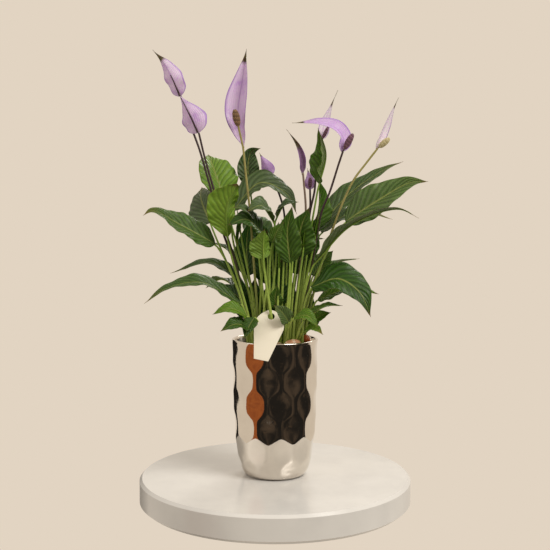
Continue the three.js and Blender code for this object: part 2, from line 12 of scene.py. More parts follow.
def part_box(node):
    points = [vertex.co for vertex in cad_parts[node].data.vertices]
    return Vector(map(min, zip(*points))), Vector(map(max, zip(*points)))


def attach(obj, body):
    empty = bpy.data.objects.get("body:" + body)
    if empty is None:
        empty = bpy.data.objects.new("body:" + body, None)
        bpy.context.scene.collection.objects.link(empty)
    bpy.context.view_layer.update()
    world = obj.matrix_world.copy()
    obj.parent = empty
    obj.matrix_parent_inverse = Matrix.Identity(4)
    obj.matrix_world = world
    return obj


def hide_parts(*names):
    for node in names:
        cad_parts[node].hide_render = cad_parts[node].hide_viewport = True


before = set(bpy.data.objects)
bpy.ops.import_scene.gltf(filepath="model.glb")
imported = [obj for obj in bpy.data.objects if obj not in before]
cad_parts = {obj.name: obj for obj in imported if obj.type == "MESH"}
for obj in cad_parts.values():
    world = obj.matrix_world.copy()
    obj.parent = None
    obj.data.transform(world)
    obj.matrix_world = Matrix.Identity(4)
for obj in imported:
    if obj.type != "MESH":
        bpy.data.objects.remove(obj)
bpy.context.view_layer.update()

MM = 0.001
UP = Vector((0, 0, 1))

# ---- sizes shared with the solids ----
CLEARANCE = 0.35 * MM
VASE_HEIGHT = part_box("vase")[1].z
RIM_RADIUS = 65 * MM
WAIST_RADIUS = 63.5 * MM
VASE_WALL = 4 * MM
VASE_FLOOR = 6 * MM
PLAIN_RIM_BAND = 5 * MM
SIDE_CURVE = ((17, 4), (11, 20), (5, 52), (1.5, 112), (0, 207))    # inset from the rim, height, in mm

# the honeycomb relief
CELLS_AROUND = 10
CELL_ROW_PITCH = 35.5 * MM
FIRST_CELL_HEIGHT = 44 * MM
FIRST_CELL_ANGLE = 8.5
TOP_CELL_ROW = 4
CELL_DEPTH = 2.2 * MM
RIDGE_SOFTNESS = 95 * MM * MM
RELIEF_START = FIRST_CELL_HEIGHT - CELL_ROW_PITCH
HEEL_BAND = 12 * MM
FINE = 12                     # columns in half a cell, and rows in a third of a row's pitch
COLUMNS = 2 * CELLS_AROUND * FINE

# the soil that the plant stands in
CRUMB_COUNT = 300
SOIL_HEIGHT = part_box("potting_soil")[1].z
SOIL_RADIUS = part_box("potting_soil")[1].x
PLANTED_RADIUS = 52 * MM
PLANT_FOOT = SOIL_HEIGHT + CLEARANCE

# blades and stalks
ACROSS, ALONG = 20, 64        # faces across and along each blade
SIDE_VEINS = 10               # on each side of a blade
PETIOLE_RADIUS = 2.0          # this one and the next three are in mm
NECK_RADIUS = 1.3
STEM_FOOT_RADIUS = 2.0
THROAT_RADIUS = 1.5
SPATHE_SEAT = 2.15 * MM       # from the middle of a spadix's foot
GOLDEN_ANGLE = 2.39996

# the paper tag
TAG_LENGTH = 80 * MM
TAG_WIDTH = 44 * MM
TAG_FOOT_WIDTH = 21 * MM
TAG_THICKNESS = 0.8 * MM
TAG_EDGE = 0.07 * MM
TAG_HOLE_RADIUS = 5.2 * MM
TAG_HOLE_FROM_TOP = 10 * MM
TAG_SHOULDER_DROP = 27 * MM
TAG_HOLE_ABOVE_RIM = 37 * MM
TAG_TURN = -12                # degrees
TAG_STALK = ((-1, -38), [(-17, -56, 135), (-17, -62, 157), (-15, -70, 178)])


# ---- small helpers ----
def deselect_all():
    if bpy.context.object and bpy.context.object.mode != "OBJECT":
        bpy.ops.object.mode_set(mode="OBJECT")
    bpy.ops.object.select_all(action="DESELECT")


def only(piece):
    deselect_all()
    piece.select_set(True)
    bpy.context.view_layer.objects.active = piece


def named(name):
    piece = bpy.context.object
    piece.name = name
    piece.data.name = name
    return piece


def apply_modifier(piece, kind, **settings):
    only(piece)
    modifier = piece.modifiers.new(kind.lower(), kind)
    for key, value in settings.items():
        setattr(modifier, key, value)
    bpy.ops.object.modifier_apply(modifier=modifier.name)


def smooth(piece, angle=None):
    only(piece)
    if angle is None:
        bpy.ops.object.shade_smooth()
    else:
        bpy.ops.object.shade_smooth_by_angle(angle=math.radians(angle))


def points_of(piece):
    co = np.empty(len(piece.data.vertices) * 3)
    piece.data.vertices.foreach_get("co", co)
    return co.reshape(-1, 3)


def move_points(piece, co):
    piece.data.vertices.foreach_set("co", np.ascontiguousarray(co, float).ravel())
    piece.data.update()


def joined(pieces, name):
    deselect_all()
    for piece in pieces:
        piece.select_set(True)
    bpy.context.view_layer.objects.active = pieces[0]
    bpy.ops.object.join()
    return named(name)


def own_copy(piece, name):
    copy = piece.copy()
    copy.data = piece.data.copy()
    copy.name = copy.data.name = name
    bpy.context.collection.objects.link(copy)
    return copy


def finish_piece(piece, slot, *nodes):
    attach(piece, "root")
    if nodes:
        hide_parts(*nodes)
    return piece


def rad(degrees):
    return math.radians(degrees)


def smoothstep(x):
    x = np.clip(x, 0.0, 1.0)
    return x * x * (3 - 2 * x)


# ---- finishes ----
class Finish:
    """A material whose nodes are laid by short calls."""

    def __init__(self, name, **values):
        self.material = bpy.data.materials.new(name)
        self.material.use_nodes = True
        self.tree = self.material.node_tree
        self.shader = self.tree.nodes["Principled BSDF"]
        for key, value in values.items():
            self.shader.inputs[key.replace("_", " ")].default_value = value

    def put(self, socket, source):
        if hasattr(source, "links"):
            self.tree.links.new(source, socket)
        else:
            socket.default_value = source

    def node(self, kind, outlet=0, settings=None, **inputs):
        node = self.tree.nodes.new("ShaderNode" + kind)
        for key, value in (settings or {}).items():
            setattr(node, key, value)
        for key, value in inputs.items():
            self.put(node.inputs[int(key[1:]) if key[0] == "i" else key.replace("_", " ")], value)
        return node.outputs[outlet]

    def place(self, squeeze=(1, 1, 1)):
        spot = self.node("TexCoord", 3)
        return self.node("Mapping", 0, Vector=spot, Scale=squeeze)

    def noise(self, place, scale, detail=3.0, roughness=0.55):
        return self.node("TexNoise", 0, Vector=place, Scale=scale, Detail=detail, Roughness=roughness)

    def cells(self, place, scale, outlet=0, feature="F1"):
        return self.node("TexVoronoi", outlet, {"feature": feature}, Vector=place, Scale=scale)

    def sum(self, operation, a, b=0.0, c=0.0):
        return self.node("Math", 0, {"operation": operation}, i0=a, i1=b, i2=c)

    def blend(self, share, a, b):
        node = self.tree.nodes.new("ShaderNodeMix")
        node.data_type = "RGBA"
        for index, value in ((0, share), (6, a), (7, b)):
            self.put(node.inputs[index], value)
        return node.outputs[2]

    def between(self, value, low, high, to_low=0.0, to_high=1.0):
        node = self.tree.nodes.new("ShaderNodeMapRange")
        node.interpolation_type = "SMOOTHSTEP"
        for index, source in enumerate((value, low, high, to_low, to_high)):
            self.put(node.inputs[index], source)
        return node.outputs[0]

    def bump(self, height, distance, strength=1.0, under=None):
        node = self.tree.nodes.new("ShaderNodeBump")
        node.inputs["Strength"].default_value = strength
        node.inputs["Distance"].default_value = distance
        self.put(node.inputs["Height"], height)
        if under is not None:
            self.put(node.inputs["Normal"], under)
        return node.outputs[0]

    def wear(self, **sources):
        for key, source in sources.items():
            self.put(self.shader.inputs[key.replace("_", " ")], source)
        return self.material


def shade(red, green, blue):
    """A colour given as it looks, 0 to 255, turned into a linear one."""
    channels = [value / 255 for value in (red, green, blue)]
    linear = [c / 12.92 if c <= 0.04045 else ((c + 0.055) / 1.055) ** 2.4 for c in channels]
    return (*linear, 1.0)


def mirror_glaze():
    f = Finish("mirror glaze", Metallic=1.0, IOR=1.5)
    spot = f.place()
    cloud = f.noise(spot, 34, 4)
    speck = f.noise(spot, 900, 2)
    colour = f.blend(cloud, shade(212, 204, 194), shade(232, 226, 216))
    rough = f.between(cloud, 0.3, 0.75, 0.035, 0.085)
    ripple = f.bump(cloud, 0.0006, 0.35)
    grain = f.bump(speck, 0.00004, 0.3, ripple)
    return f.wear(Base_Color=colour, Roughness=rough, Normal=grain)


def pot_plastic():
    f = Finish("pot plastic")
    spot = f.place()
    dust = f.noise(spot, 60, 5)
    streak = f.noise(f.place((1, 1, 0.05)), 220, 2)
    colour = f.blend(f.between(dust, 0.45, 0.75), shade(34, 34, 36), shade(78, 70, 62))
    rough = f.between(dust, 0.3, 0.8, 0.42, 0.8)
    return f.wear(Base_Color=colour, Roughness=rough, Normal=f.bump(streak, 0.0002, 0.4))


def fired_clay():
    f = Finish("fired clay")
    spot = f.place()
    balls = f.cells(spot, 85)
    tint = f.noise(spot, 70, 4)
    colour = f.blend(tint, shade(104, 52, 30), shade(168, 98, 62))
    # painted shade: the gaps between the clay balls are painted dark
    shaded_gaps = f.blend(f.between(balls, 0.45, 0.75), colour, shade(38, 22, 16))
    return f.wear(Base_Color=shaded_gaps, Roughness=f.between(tint, 0, 1, 0.8, 0.98),
                  Normal=f.bump(balls, -0.004, 0.9))


def soil():
    f = Finish("potting soil")
    spot = f.place()
    lumps = f.noise(spot, 260, 8, 0.7)
    crumbs = f.cells(spot, 420)
    fibre = f.noise(f.place((1, 6, 1)), 150, 3)
    colour = f.blend(lumps, shade(24, 16, 11), shade(82, 58, 40))
    colour = f.blend(f.between(fibre, 0.62, 0.7), colour, shade(112, 84, 58))
    deep = f.bump(lumps, 0.003, 0.9)
    return f.wear(Base_Color=colour, Roughness=f.between(lumps, 0.2, 0.8, 0.75, 0.98),
                  Normal=f.bump(crumbs, 0.0012, 0.7, deep))


def bark():
    f = Finish("bark crumbs")
    spot = f.place()
    tint = f.noise(spot, 90, 3)
    grain = f.noise(f.place((1, 5, 1)), 500, 4)
    colour = f.blend(f.between(tint, 0.35, 0.65), shade(48, 30, 20), shade(120, 86, 56))
    return f.wear(Base_Color=colour, Roughness=f.between(grain, 0, 1, 0.7, 0.95),
                  Normal=f.bump(grain, 0.0006, 0.8))


def stone(name, dark, light, band, band_turn, shine):
    """A tumbled pebble with cloudy colour, thin bands and pits."""
    f = Finish(name)
    spot = f.node("Mapping", 0, Vector=f.node("TexCoord", 3), Rotation=band_turn)
    cloud = f.noise(spot, 95, 5)
    waves = f.node("TexWave", 1, {"bands_direction": "X"}, Vector=spot, Scale=26.0, Distortion=5.0,
                   Detail=3.0, Detail_Scale=1.4)
    speck = f.noise(spot, 1500, 3)
    colour = f.blend(cloud, dark, light)
    colour = f.blend(f.between(waves, 0.72, 0.93), colour, band)
    colour = f.blend(f.between(speck, 0.62, 0.75, 0, 0.35), colour, dark)
    return f.wear(Base_Color=colour, Roughness=f.between(cloud, 0.2, 0.8, shine, shine + 0.22),
                  Normal=f.bump(speck, 0.00012, 0.5))


def card():
    f = Finish("tag card")
    spot = f.place()
    pulp = f.noise(spot, 420, 6, 0.7)
    fibre = f.noise(f.place((1, 1, 0.18)), 1400, 3)
    cloud = f.noise(spot, 30, 2)
    colour = f.blend(cloud, shade(236, 229, 209), shade(244, 238, 221))
    colour = f.blend(f.between(fibre, 0.6, 0.78, 0, 0.25), colour, shade(196, 184, 156))
    return f.wear(Base_Color=colour, Roughness=f.between(pulp, 0.2, 0.8, 0.78, 0.94),
                  Normal=f.bump(pulp, 0.00012, 0.5))


def leaf_green():
    """Glossy leaf. The surface attribute tone holds four shares: light, a bright yellow-green that is the
    fresh colour of young leaves and also painted backlight shining through the blade; grey, a painted grey
    sheen; dry; and underside.
    """
    f = Finish("leaf green", Specular_IOR_Level=0.34, Coat_Weight=0.04, Coat_Roughness=0.35,
               Subsurface_Weight=0.12, Subsurface_Radius=(0.5, 1.0, 0.2), Subsurface_Scale=0.002)
    flat = f.node("UVMap", 0, {"uv_map": "UVMap"})
    parts = f.tree.nodes.new("ShaderNodeSeparateXYZ")
    f.put(parts.inputs[0], flat)
    along = parts.outputs[1]
    across = f.sum("ABSOLUTE", f.sum("MULTIPLY_ADD", parts.outputs[0], 2.0, -1.0))
    tone = f.tree.nodes.new("ShaderNodeAttribute")
    tone.attribute_name = "tone"
    shares = f.tree.nodes.new("ShaderNodeSeparateColor")
    f.put(shares.inputs[0], tone.outputs["Color"])
    # light is the fresh yellow-green of young leaves together with painted backlight; grey is a painted grey
    # sheen; dry gives yellow-brown scorched tips
    light, grey, dry = shares.outputs[0], shares.outputs[1], shares.outputs[2]
    under = tone.outputs["Alpha"]
    spot = f.place()
    cloud = f.noise(spot, 28, 3)
    mottle = f.noise(spot, 240, 4)
    # side veins leave the midrib and sweep towards the tip
    sweep = f.sum("MULTIPLY", f.sum("POWER", across, 0.75), 0.3)
    wobble = f.sum("MULTIPLY", f.sum("SUBTRACT", cloud, 0.5), 0.11)
    phase = f.sum("ADD", f.sum("SUBTRACT", along, sweep), wobble)
    ribs = f.sum("SINE", f.sum("MULTIPLY", phase, 2 * math.pi * SIDE_VEINS))
    fine = f.sum("SINE", f.sum("MULTIPLY", phase, 2 * math.pi * SIDE_VEINS * 5))
    vein_groove_shade = f.between(ribs, -0.7, -1.0)
    midrib = f.between(across, 0.075, 0.02)
    colour = f.blend(cloud, shade(22, 46, 10), shade(44, 82, 18))
    # painted sheen: the swells between the side veins are painted a lighter green
    colour = f.blend(f.between(ribs, -0.8, 1.0, 0.0, 0.22), colour, shade(72, 116, 30))
    # fresh yellow-green of young leaves with painted backlight shining through the blade, the veins darker
    # against it
    fresh_and_backlit_green = f.blend(mottle, shade(106, 148, 22), shade(150, 186, 52))
    fresh_and_backlit_green = f.blend(f.between(ribs, -1.0, 0.2, 0.35, 0.0), fresh_and_backlit_green, shade(72, 112, 18))
    colour = f.blend(light, colour, fresh_and_backlit_green)
    # painted grey sheen, paler on the swells between the side veins
    painted_sheen_grey = f.blend(f.between(ribs, -0.9, 0.9), shade(60, 74, 44), shade(88, 100, 72))
    colour = f.blend(grey, colour, painted_sheen_grey)
    colour = f.blend(f.sum("MULTIPLY", under, 0.35), colour, shade(104, 122, 62))
    # painted shade: the grooves of the side veins are painted darker
    colour = f.blend(f.sum("MULTIPLY", vein_groove_shade, 0.2), colour, shade(28, 52, 16))
    colour = f.blend(f.sum("MULTIPLY", midrib, 0.75), colour, shade(140, 150, 76))
    rim = f.between(across, 0.965, 1.0)
    colour = f.blend(f.sum("MULTIPLY", rim, 0.5), colour, shade(128, 120, 62))
    tip = f.between(f.sum("ADD", along, f.sum("MULTIPLY", mottle, 0.06)), 0.93, 1.01)
    colour = f.blend(f.sum("MULTIPLY", tip, 0.9), colour, shade(104, 78, 44))
    scorch = f.between(f.sum("ADD", f.sum("MULTIPLY", cloud, 0.3), along), 0.86, 1.12)
    colour = f.blend(f.sum("MULTIPLY", scorch, dry), colour, shade(150, 128, 62))
    rough = f.between(mottle, 0.25, 0.8, 0.38, 0.56)
    quilt = f.bump(ribs, 0.0010, 0.45)
    lines = f.bump(fine, 0.00012, 0.35, quilt)
    return f.wear(Base_Color=colour, Roughness=rough, Normal=f.bump(mottle, 0.00025, 0.25, lines))


def stalk_finish(name, foot, top, fleck, rough):
    """A stalk that changes colour from the soil upwards, with fine lengthwise lines."""
    f = Finish(name, Specular_IOR_Level=0.5)
    spot = f.node("TexCoord", 3)
    parts = f.tree.nodes.new("ShaderNodeSeparateXYZ")
    f.put(parts.inputs[0], spot)
    height = f.between(parts.outputs[2], SOIL_HEIGHT, SOIL_HEIGHT + 0.2)
    lines = f.noise(f.place((1, 1, 0.04)), 1500, 2)
    spots = f.noise(spot, 170, 4)
    colour = f.blend(height, foot, top)
    colour = f.blend(f.between(lines, 0.35, 0.75, 0, 0.45), colour, fleck)
    colour = f.blend(f.between(spots, 0.58, 0.72, 0, 0.6), colour, fleck)
    return f.wear(Base_Color=colour, Roughness=f.between(spots, 0.2, 0.8, rough, rough + 0.2),
                  Normal=f.bump(lines, 0.0002, 0.5))


def spadix_finish(name, gap_shade, floret, tip):
    f = Finish(name)
    spot = f.place()
    tone = f.tree.nodes.new("ShaderNodeAttribute")
    tone.attribute_name = "tone"
    mottle = f.noise(spot, 900, 2)
    colour = f.blend(mottle, floret, tip)
    # painted shade: the gap colour darkens the florets' sides and the core between them
    colour = f.blend(tone.outputs["Fac"], gap_shade, colour)
    return f.wear(Base_Color=colour, Roughness=f.between(mottle, 0.2, 0.8, 0.45, 0.75),
                  Normal=f.bump(mottle, 0.0002, 0.4))


def spathe_lilac():
    """Lilac spathe with lengthwise veins, violet rims, pale patches and a brown-green tail."""
    f = Finish("spathe lilac", Subsurface_Weight=0.25, Subsurface_Radius=(1.0, 0.6, 1.0),
               Subsurface_Scale=0.002, Specular_IOR_Level=0.4)
    flat = f.node("UVMap", 0, {"uv_map": "UVMap"})
    parts = f.tree.nodes.new("ShaderNodeSeparateXYZ")
    f.put(parts.inputs[0], flat)
    along = parts.outputs[1]
    across = f.sum("ABSOLUTE", f.sum("MULTIPLY_ADD", parts.outputs[0], 2.0, -1.0))
    tone = f.tree.nodes.new("ShaderNodeAttribute")
    tone.attribute_name = "tone"
    shares = f.tree.nodes.new("ShaderNodeSeparateColor")
    f.put(shares.inputs[0], tone.outputs["Color"])
    white, dusky, tail = shares.outputs[0], shares.outputs[1], shares.outputs[2]
    spot = f.place()
    cloud = f.noise(spot, 55, 4)
    fine = f.noise(spot, 420, 4)
    sweep = f.sum("SUBTRACT", across, f.sum("MULTIPLY", along, 0.35))
    veins = f.sum("SINE", f.sum("MULTIPLY", f.sum("ADD", sweep, f.sum("MULTIPLY", cloud, 0.12)), 44.0))
    colour = f.blend(cloud, shade(186, 150, 212), shade(218, 190, 232))
    colour = f.blend(f.between(veins, 0.3, 1.0, 0, 0.35), colour, shade(158, 116, 196))
    colour = f.blend(f.between(fine, 0.6, 0.75, 0, 0.3), colour, shade(204, 150, 196))
    colour = f.blend(f.sum("MULTIPLY", white, f.between(cloud, 0.24, 0.5)), colour, shade(238, 226, 238))
    colour = f.blend(dusky, colour, shade(112, 82, 110))
    rim = f.between(across, 0.8, 1.0, 0, 0.85)
    colour = f.blend(rim, colour, shade(138, 98, 188))
    midrib = f.between(across, 0.1, 0.02, 0, 0.5)
    colour = f.blend(midrib, colour, shade(150, 112, 178))
    drawn = f.between(f.sum("ADD", along, f.sum("MULTIPLY", fine, 0.05)), f.sum("SUBTRACT", 1.0, tail), 1.0)
    brown = f.blend(f.between(fine, 0.35, 0.65), shade(52, 46, 30), shade(98, 92, 48))
    colour = f.blend(f.between(drawn, 0.05, 0.35), colour, brown)
    return f.wear(Base_Color=colour, Roughness=f.between(fine, 0.2, 0.8, 0.38, 0.6),
                  Normal=f.bump(veins, 0.0003, 0.4))


FINISH = {
    "mirror": mirror_glaze(),
    "pot": pot_plastic(),
    "clay": fired_clay(),
    "soil": soil(),
    "bark": bark(),
    "peach": stone("peach stone", shade(206, 138, 96), shade(236, 186, 146), shade(246, 214, 184),
                   (0.2, 0.5, 0.3), 0.32),
    "rust": stone("rust stone", shade(122, 52, 22), shade(196, 98, 44), shade(238, 214, 196),
                  (0.1, 0.9, 1.2), 0.2),
    "grey": stone("grey stone", shade(112, 108, 102), shade(182, 176, 166), shade(222, 216, 206),
                  (0.6, 0.2, 0.1), 0.4),
    "card": card(),
    "leaf": leaf_green(),
    "petiole": stalk_finish("petiole green", shade(190, 210, 104), shade(132, 166, 58),
                            shade(62, 96, 28), 0.34),
    "darkStem": stalk_finish("dark stem", shade(96, 104, 50), shade(58, 36, 38), shade(34, 22, 24), 0.4),
    "greenStem": stalk_finish("green stem", shade(120, 146, 62), shade(162, 154, 88),
                              shade(108, 98, 58), 0.36),
    "mauveStem": stalk_finish("mauve stem", shade(120, 128, 66), shade(132, 112, 96),
                              shade(94, 74, 74), 0.36),
    "spathe": spathe_lilac(),
    "spadix": spadix_finish("spadix plum", shade(52, 38, 40), shade(136, 98, 110), shade(188, 130, 160)),
    "brownSpadix": spadix_finish("spadix brown", shade(60, 42, 26), shade(142, 104, 74),
                                 shade(196, 160, 116)),
    "creamSpadix": spadix_finish("spadix cream", shade(176, 164, 110), shade(226, 214, 168),
                                 shade(244, 236, 200)),
}


def wearing(piece, *finishes):
    piece.data.materials.clear()
    for finish in finishes:
        piece.data.materials.append(FINISH[finish])
    return piece


# ---- spun pieces ----
def spun(name, profile, steps):
    """A profile drawn by extruding one point along it, spun into a whole turn and merged."""
    deselect_all()
    bpy.ops.mesh.primitive_plane_add(size=0.001)
    piece = named(name)
    bpy.ops.object.mode_set(mode="EDIT")
    bpy.ops.mesh.select_all(action="SELECT")
    bpy.ops.mesh.merge(type="CENTER")
    bpy.ops.transform.translate(value=(profile[0][0], 0, profile[0][1]))
    for before, after in zip(profile, profile[1:]):
        step = (after[0] - before[0], 0, after[1] - before[1])
        bpy.ops.mesh.extrude_region_move(TRANSFORM_OT_translate={"value": step})
    bpy.ops.mesh.select_all(action="SELECT")
    bpy.ops.mesh.spin(steps=steps, angle=2 * math.pi, center=(0, 0, 0), axis=(0, 0, 1))
    bpy.ops.mesh.select_all(action="SELECT")
    bpy.ops.mesh.remove_doubles(threshold=0.00001)
    bpy.ops.mesh.normals_make_consistent(inside=False)
    bpy.ops.object.mode_set(mode="OBJECT")
    return piece


# ---- vase ----
def between_points(a, b, c, d, t):
    """A share t of the way from b to c, on the smooth curve through all four."""
    lead, trail = (c - a) * 0.5, (d - b) * 0.5
    return ((2 * b - 2 * c + lead + trail) * t ** 3 + (-3 * b + 3 * c - 2 * lead - trail) * t ** 2
            + lead * t + b)


def wall_radius(height):
    """Radius of the vase over the ridges of its relief, read off its side's curve."""
    points = [(RIM_RADIUS - inset * MM, level * MM) for inset, level in SIDE_CURVE]
    if height <= points[0][1]:
        return points[0][0]
    last = len(points) - 2
    index = next((k for k in range(last) if height <= points[k + 1][1]), last)
    quad = (points[max(index - 1, 0)], points[index], points[index + 1], points[min(index + 2, last + 1)])
    near, far = 0.0, 1.0
    for _ in range(30):
        middle = (near + far) / 2
        if between_points(*(level for _, level in quad), middle) < height:
            near = middle
        else:
            far = middle
    return between_points(*(radius for radius, _ in quad), near)


def relief_depth(turn, height):
    """Depth of the shallow round dimples, which meet in a honeycomb of soft ridges."""
    cell_turn = 360 / CELLS_AROUND
    row = round((height - FIRST_CELL_HEIGHT) / CELL_ROW_PITCH)
    pull = 0.0
    for near in range(row - 1, min(row + 1, TOP_CELL_ROW) + 1):
        first = FIRST_CELL_ANGLE + (abs(near) % 2) * cell_turn / 2
        off = (turn - first + cell_turn / 2) % cell_turn - cell_turn / 2
        up = height - (FIRST_CELL_HEIGHT + near * CELL_ROW_PITCH)
        for side in (off, off - cell_turn if off > 0 else off + cell_turn):
            away = (rad(side) * WAIST_RADIUS) ** 2 + up ** 2
            pull += math.exp(-away / RIDGE_SOFTNESS)
    nearest = -RIDGE_SOFTNESS * math.log(pull)
    fade = float(smoothstep((VASE_HEIGHT - height) / PLAIN_RIM_BAND)
                 * smoothstep((height - RELIEF_START) / HEEL_BAND))
    cup = max(0.0, 1 - nearest / (CELL_ROW_PITCH * 2 / 3) ** 2)
    return CELL_DEPTH * fade * cup * (0.35 + 0.65 * cup)


def vase_outline():
    """The vase's section: foot ring, heel, side, rounded lip, inside and floor."""
    row_step = CELL_ROW_PITCH / 3 / FINE
    rows = int((VASE_HEIGHT - 0.0022 - RELIEF_START) / row_step) + 1
    side = [(wall_radius(RELIEF_START + k * row_step), RELIEF_START + k * row_step) for k in range(rows)]
    foot = [(0.0001, 0.0012), (RIM_RADIUS - 0.031, 0.0012), (RIM_RADIUS - 0.028, 0.0),
            (RIM_RADIUS - 0.024, 0.0), (RIM_RADIUS - 0.0205, 0.0011), (RIM_RADIUS - 0.0178, 0.0033),
            (wall_radius(0.0062), 0.0062)]
    lip = [(RIM_RADIUS, VASE_HEIGHT - 0.0014), (RIM_RADIUS - 0.0005, VASE_HEIGHT - 0.0004),
           (RIM_RADIUS - 0.0014, VASE_HEIGHT), (RIM_RADIUS - 0.0026, VASE_HEIGHT),
           (RIM_RADIUS - 0.0036, VASE_HEIGHT - 0.0006), (RIM_RADIUS - VASE_WALL, VASE_HEIGHT - 0.002)]
    levels = [0.196, 0.184, 0.17, 0.15, 0.13, 0.11, 0.09, 0.07, 0.05, 0.035, 0.022, 0.013, 0.0085]
    inside = [(wall_radius(level) - CELL_DEPTH - VASE_WALL * 0.9, level) for level in levels]
    floor = [(RIM_RADIUS - 0.026, VASE_FLOOR), (0.0001, VASE_FLOOR)]
    return foot + side + lip + inside + floor


def split_along_ridges(piece, outer, depth):
    """Splits each face of the side along its shallower diagonal, so that ridges stay whole."""
    mesh = bmesh.new()
    mesh.from_mesh(piece.data)
    mesh.verts.ensure_lookup_table()
    for face in list(mesh.faces):
        corners = face.verts[:]
        if len(corners) != 4 or not all(outer[v.index] for v in corners):
            continue
        one = depth[corners[0].index] + depth[corners[2].index]
        two = depth[corners[1].index] + depth[corners[3].index]
        start = 0 if one < two else 1
        bmesh.utils.face_split(face, corners[start], corners[start + 2])
    mesh.to_mesh(piece.data)
    mesh.free()


def vase():
    """Spun from its section, turned so that its columns meet the cells, and pressed in."""
    piece = spun("honeycomb_vase", vase_outline(), COLUMNS)
    co = points_of(piece)
    radius = np.hypot(co[:, 0], co[:, 1])
    wall = np.array([wall_radius(max(z, 0.004)) for z in np.round(co[:, 2], 6)])
    outer = (radius > wall - 0.0008) & (co[:, 2] > RELIEF_START - 1e-6) & (co[:, 2] < VASE_HEIGHT - 0.0016)
    shift = rad(FIRST_CELL_ANGLE) - rad(90)
    cos, sin = math.cos(shift), math.sin(shift)
    turned = co.copy()
    turned[:, 0] = co[:, 0] * cos - co[:, 1] * sin
    turned[:, 1] = co[:, 0] * sin + co[:, 1] * cos
    turn = np.degrees(np.arctan2(turned[:, 0], -turned[:, 1]))
    depth = np.zeros(len(turned))
    for index in np.nonzero(outer)[0]:
        depth[index] = relief_depth(turn[index], turned[index, 2])
    scale = np.where(outer, (radius - depth) / np.maximum(radius, 1e-6), 1.0)
    turned[:, :2] *= scale[:, None]
    move_points(piece, turned)
    split_along_ridges(piece, outer, depth)
    smooth(piece, 50)
    return finish_piece(wearing(piece, "mirror"), "mirror_glaze", "vase")


# ---- grower's pot and soil ----
def grower_pot():
    low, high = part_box("grower_pot")
    top, lip = high.z, high.x
    side = lip - 0.002
    foot = side - 0.013
    wall = 0.0014
    profile = [(0.0001, low.z + 0.002), (foot - 0.012, low.z + 0.002), (foot - 0.009, low.z),
               (foot - 0.002, low.z), (foot, low.z + 0.002), (side, top - 0.0052),
               (lip - 0.0004, top - 0.005),
               (lip, top - 0.0045), (lip, top - 0.0008), (lip - 0.0005, top), (side - wall + 0.0005, top),
               (side - wall, top - 0.0007), (foot - wall, low.z + 0.004), (foot - 0.004, low.z + wall),
               (0.0001, low.z + wall + 0.002)]
    piece = spun("nursery_pot", profile, 96)
    smooth(piece, 35)
    return finish_piece(wearing(piece, "pot"), "pot_plastic", "grower_pot")


def soil_body():
    """The soil is a plug that fills the pot, with a crumbled, slightly heaped top."""
    low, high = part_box("potting_soil")
    radius = high.x
    rings = [(0.0001, low.z), (radius - 0.013, low.z), (radius - 0.0003, high.z - 0.002)]
    rings += [(radius * (1 - k / 30), high.z) for k in range(1, 30)] + [(0.0001, high.z)]
    piece = spun("potting_mix", rings, 120)
    co = points_of(piece)
    top = co[:, 2] > high.z - 0.0015
    for index in np.nonzero(top)[0]:
        spot = Vector(co[index])
        edge = 1 - (math.hypot(spot.x, spot.y) / radius) ** 6
        lump = noise.noise(spot * 160) * 0.0016 + noise.noise(spot * 420) * 0.0009
        co[index, 2] += edge * (0.0012 + lump)
    move_points(piece, co)
    smooth(piece)
    return finish_piece(wearing(piece, "soil"), "soil", "potting_soil")


def lumps(name, spots, seed, rough):
    """Small crumbs, each a rounded ball pressed out of true, gathered in one piece."""
    deselect_all()
    bpy.ops.mesh.primitive_ico_sphere_add(subdivisions=2, radius=1)
    crumb = named(name)
    ball = points_of(crumb).copy()
    faces = [tuple(face.vertices) for face in crumb.data.polygons]
    draw = random.Random(seed)
    verts, polygons = [], []
    for centre, size in spots:
        turn = Quaternion([draw.gauss(0, 1) for _ in range(4)]).normalized()
        turn = np.array(turn.to_matrix())
        stretch = np.array([size * draw.uniform(0.7, 1.3) for _ in range(3)])
        bumps = np.array([1 + rough * noise.noise(Vector(v) * 1.7 + centre * 900) for v in ball])
        grown = (ball * bumps[:, None] * stretch) @ turn.T + np.array(centre)
        first = len(verts)
        verts.extend(map(tuple, grown))
        polygons.extend(tuple(first + corner for corner in face) for face in faces)
    crumb.data.clear_geometry()
    crumb.data.from_pydata(verts, [], polygons)
    crumb.data.update()
    return crumb


def crumbs():
    draw = random.Random(11)
    spots = []
    while len(spots) < CRUMB_COUNT:
        x, y = draw.uniform(-1, 1), draw.uniform(-1, 1)
        if math.hypot(x, y) < 1:
            size = draw.uniform(0.0009, 0.0026)
            reach = SOIL_RADIUS - 0.003
            spots.append((Vector((x * reach, y * reach, SOIL_HEIGHT + 0.0012 + size * 0.3)), size))
    piece = lumps("bark_crumbs", spots, 12, 0.45)
    smooth(piece, 40)
    return finish_piece(wearing(piece, "bark"), "soil")


def pebble(name, node, long, broad, tall):
    """A tumbled stone: a fine ball pressed out of true and laid along the rim."""
    low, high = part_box(node)
    spot = (low + high) / 2
    deselect_all()
    bpy.ops.mesh.primitive_ico_sphere_add(subdivisions=5, radius=1)
    piece = named(name)
    co = points_of(piece)
    bumps = np.array([1 + 0.14 * noise.noise(Vector(v) * 1.1 + spot * 300)
                      + 0.03 * noise.noise(Vector(v) * 3.4 + spot * 90) for v in co])
    co = co * bumps[:, None] * np.array([long, broad, tall]) * MM * 0.97
    angle = math.atan2(spot.x, -spot.y)
    cos, sin = math.cos(angle), math.sin(angle)
    turned = np.stack([co[:, 0] * cos - co[:, 1] * sin, co[:, 0] * sin + co[:, 1] * cos, co[:, 2]], 1)
    move_points(piece, turned + np.array(spot))
    smooth(piece)
    return piece


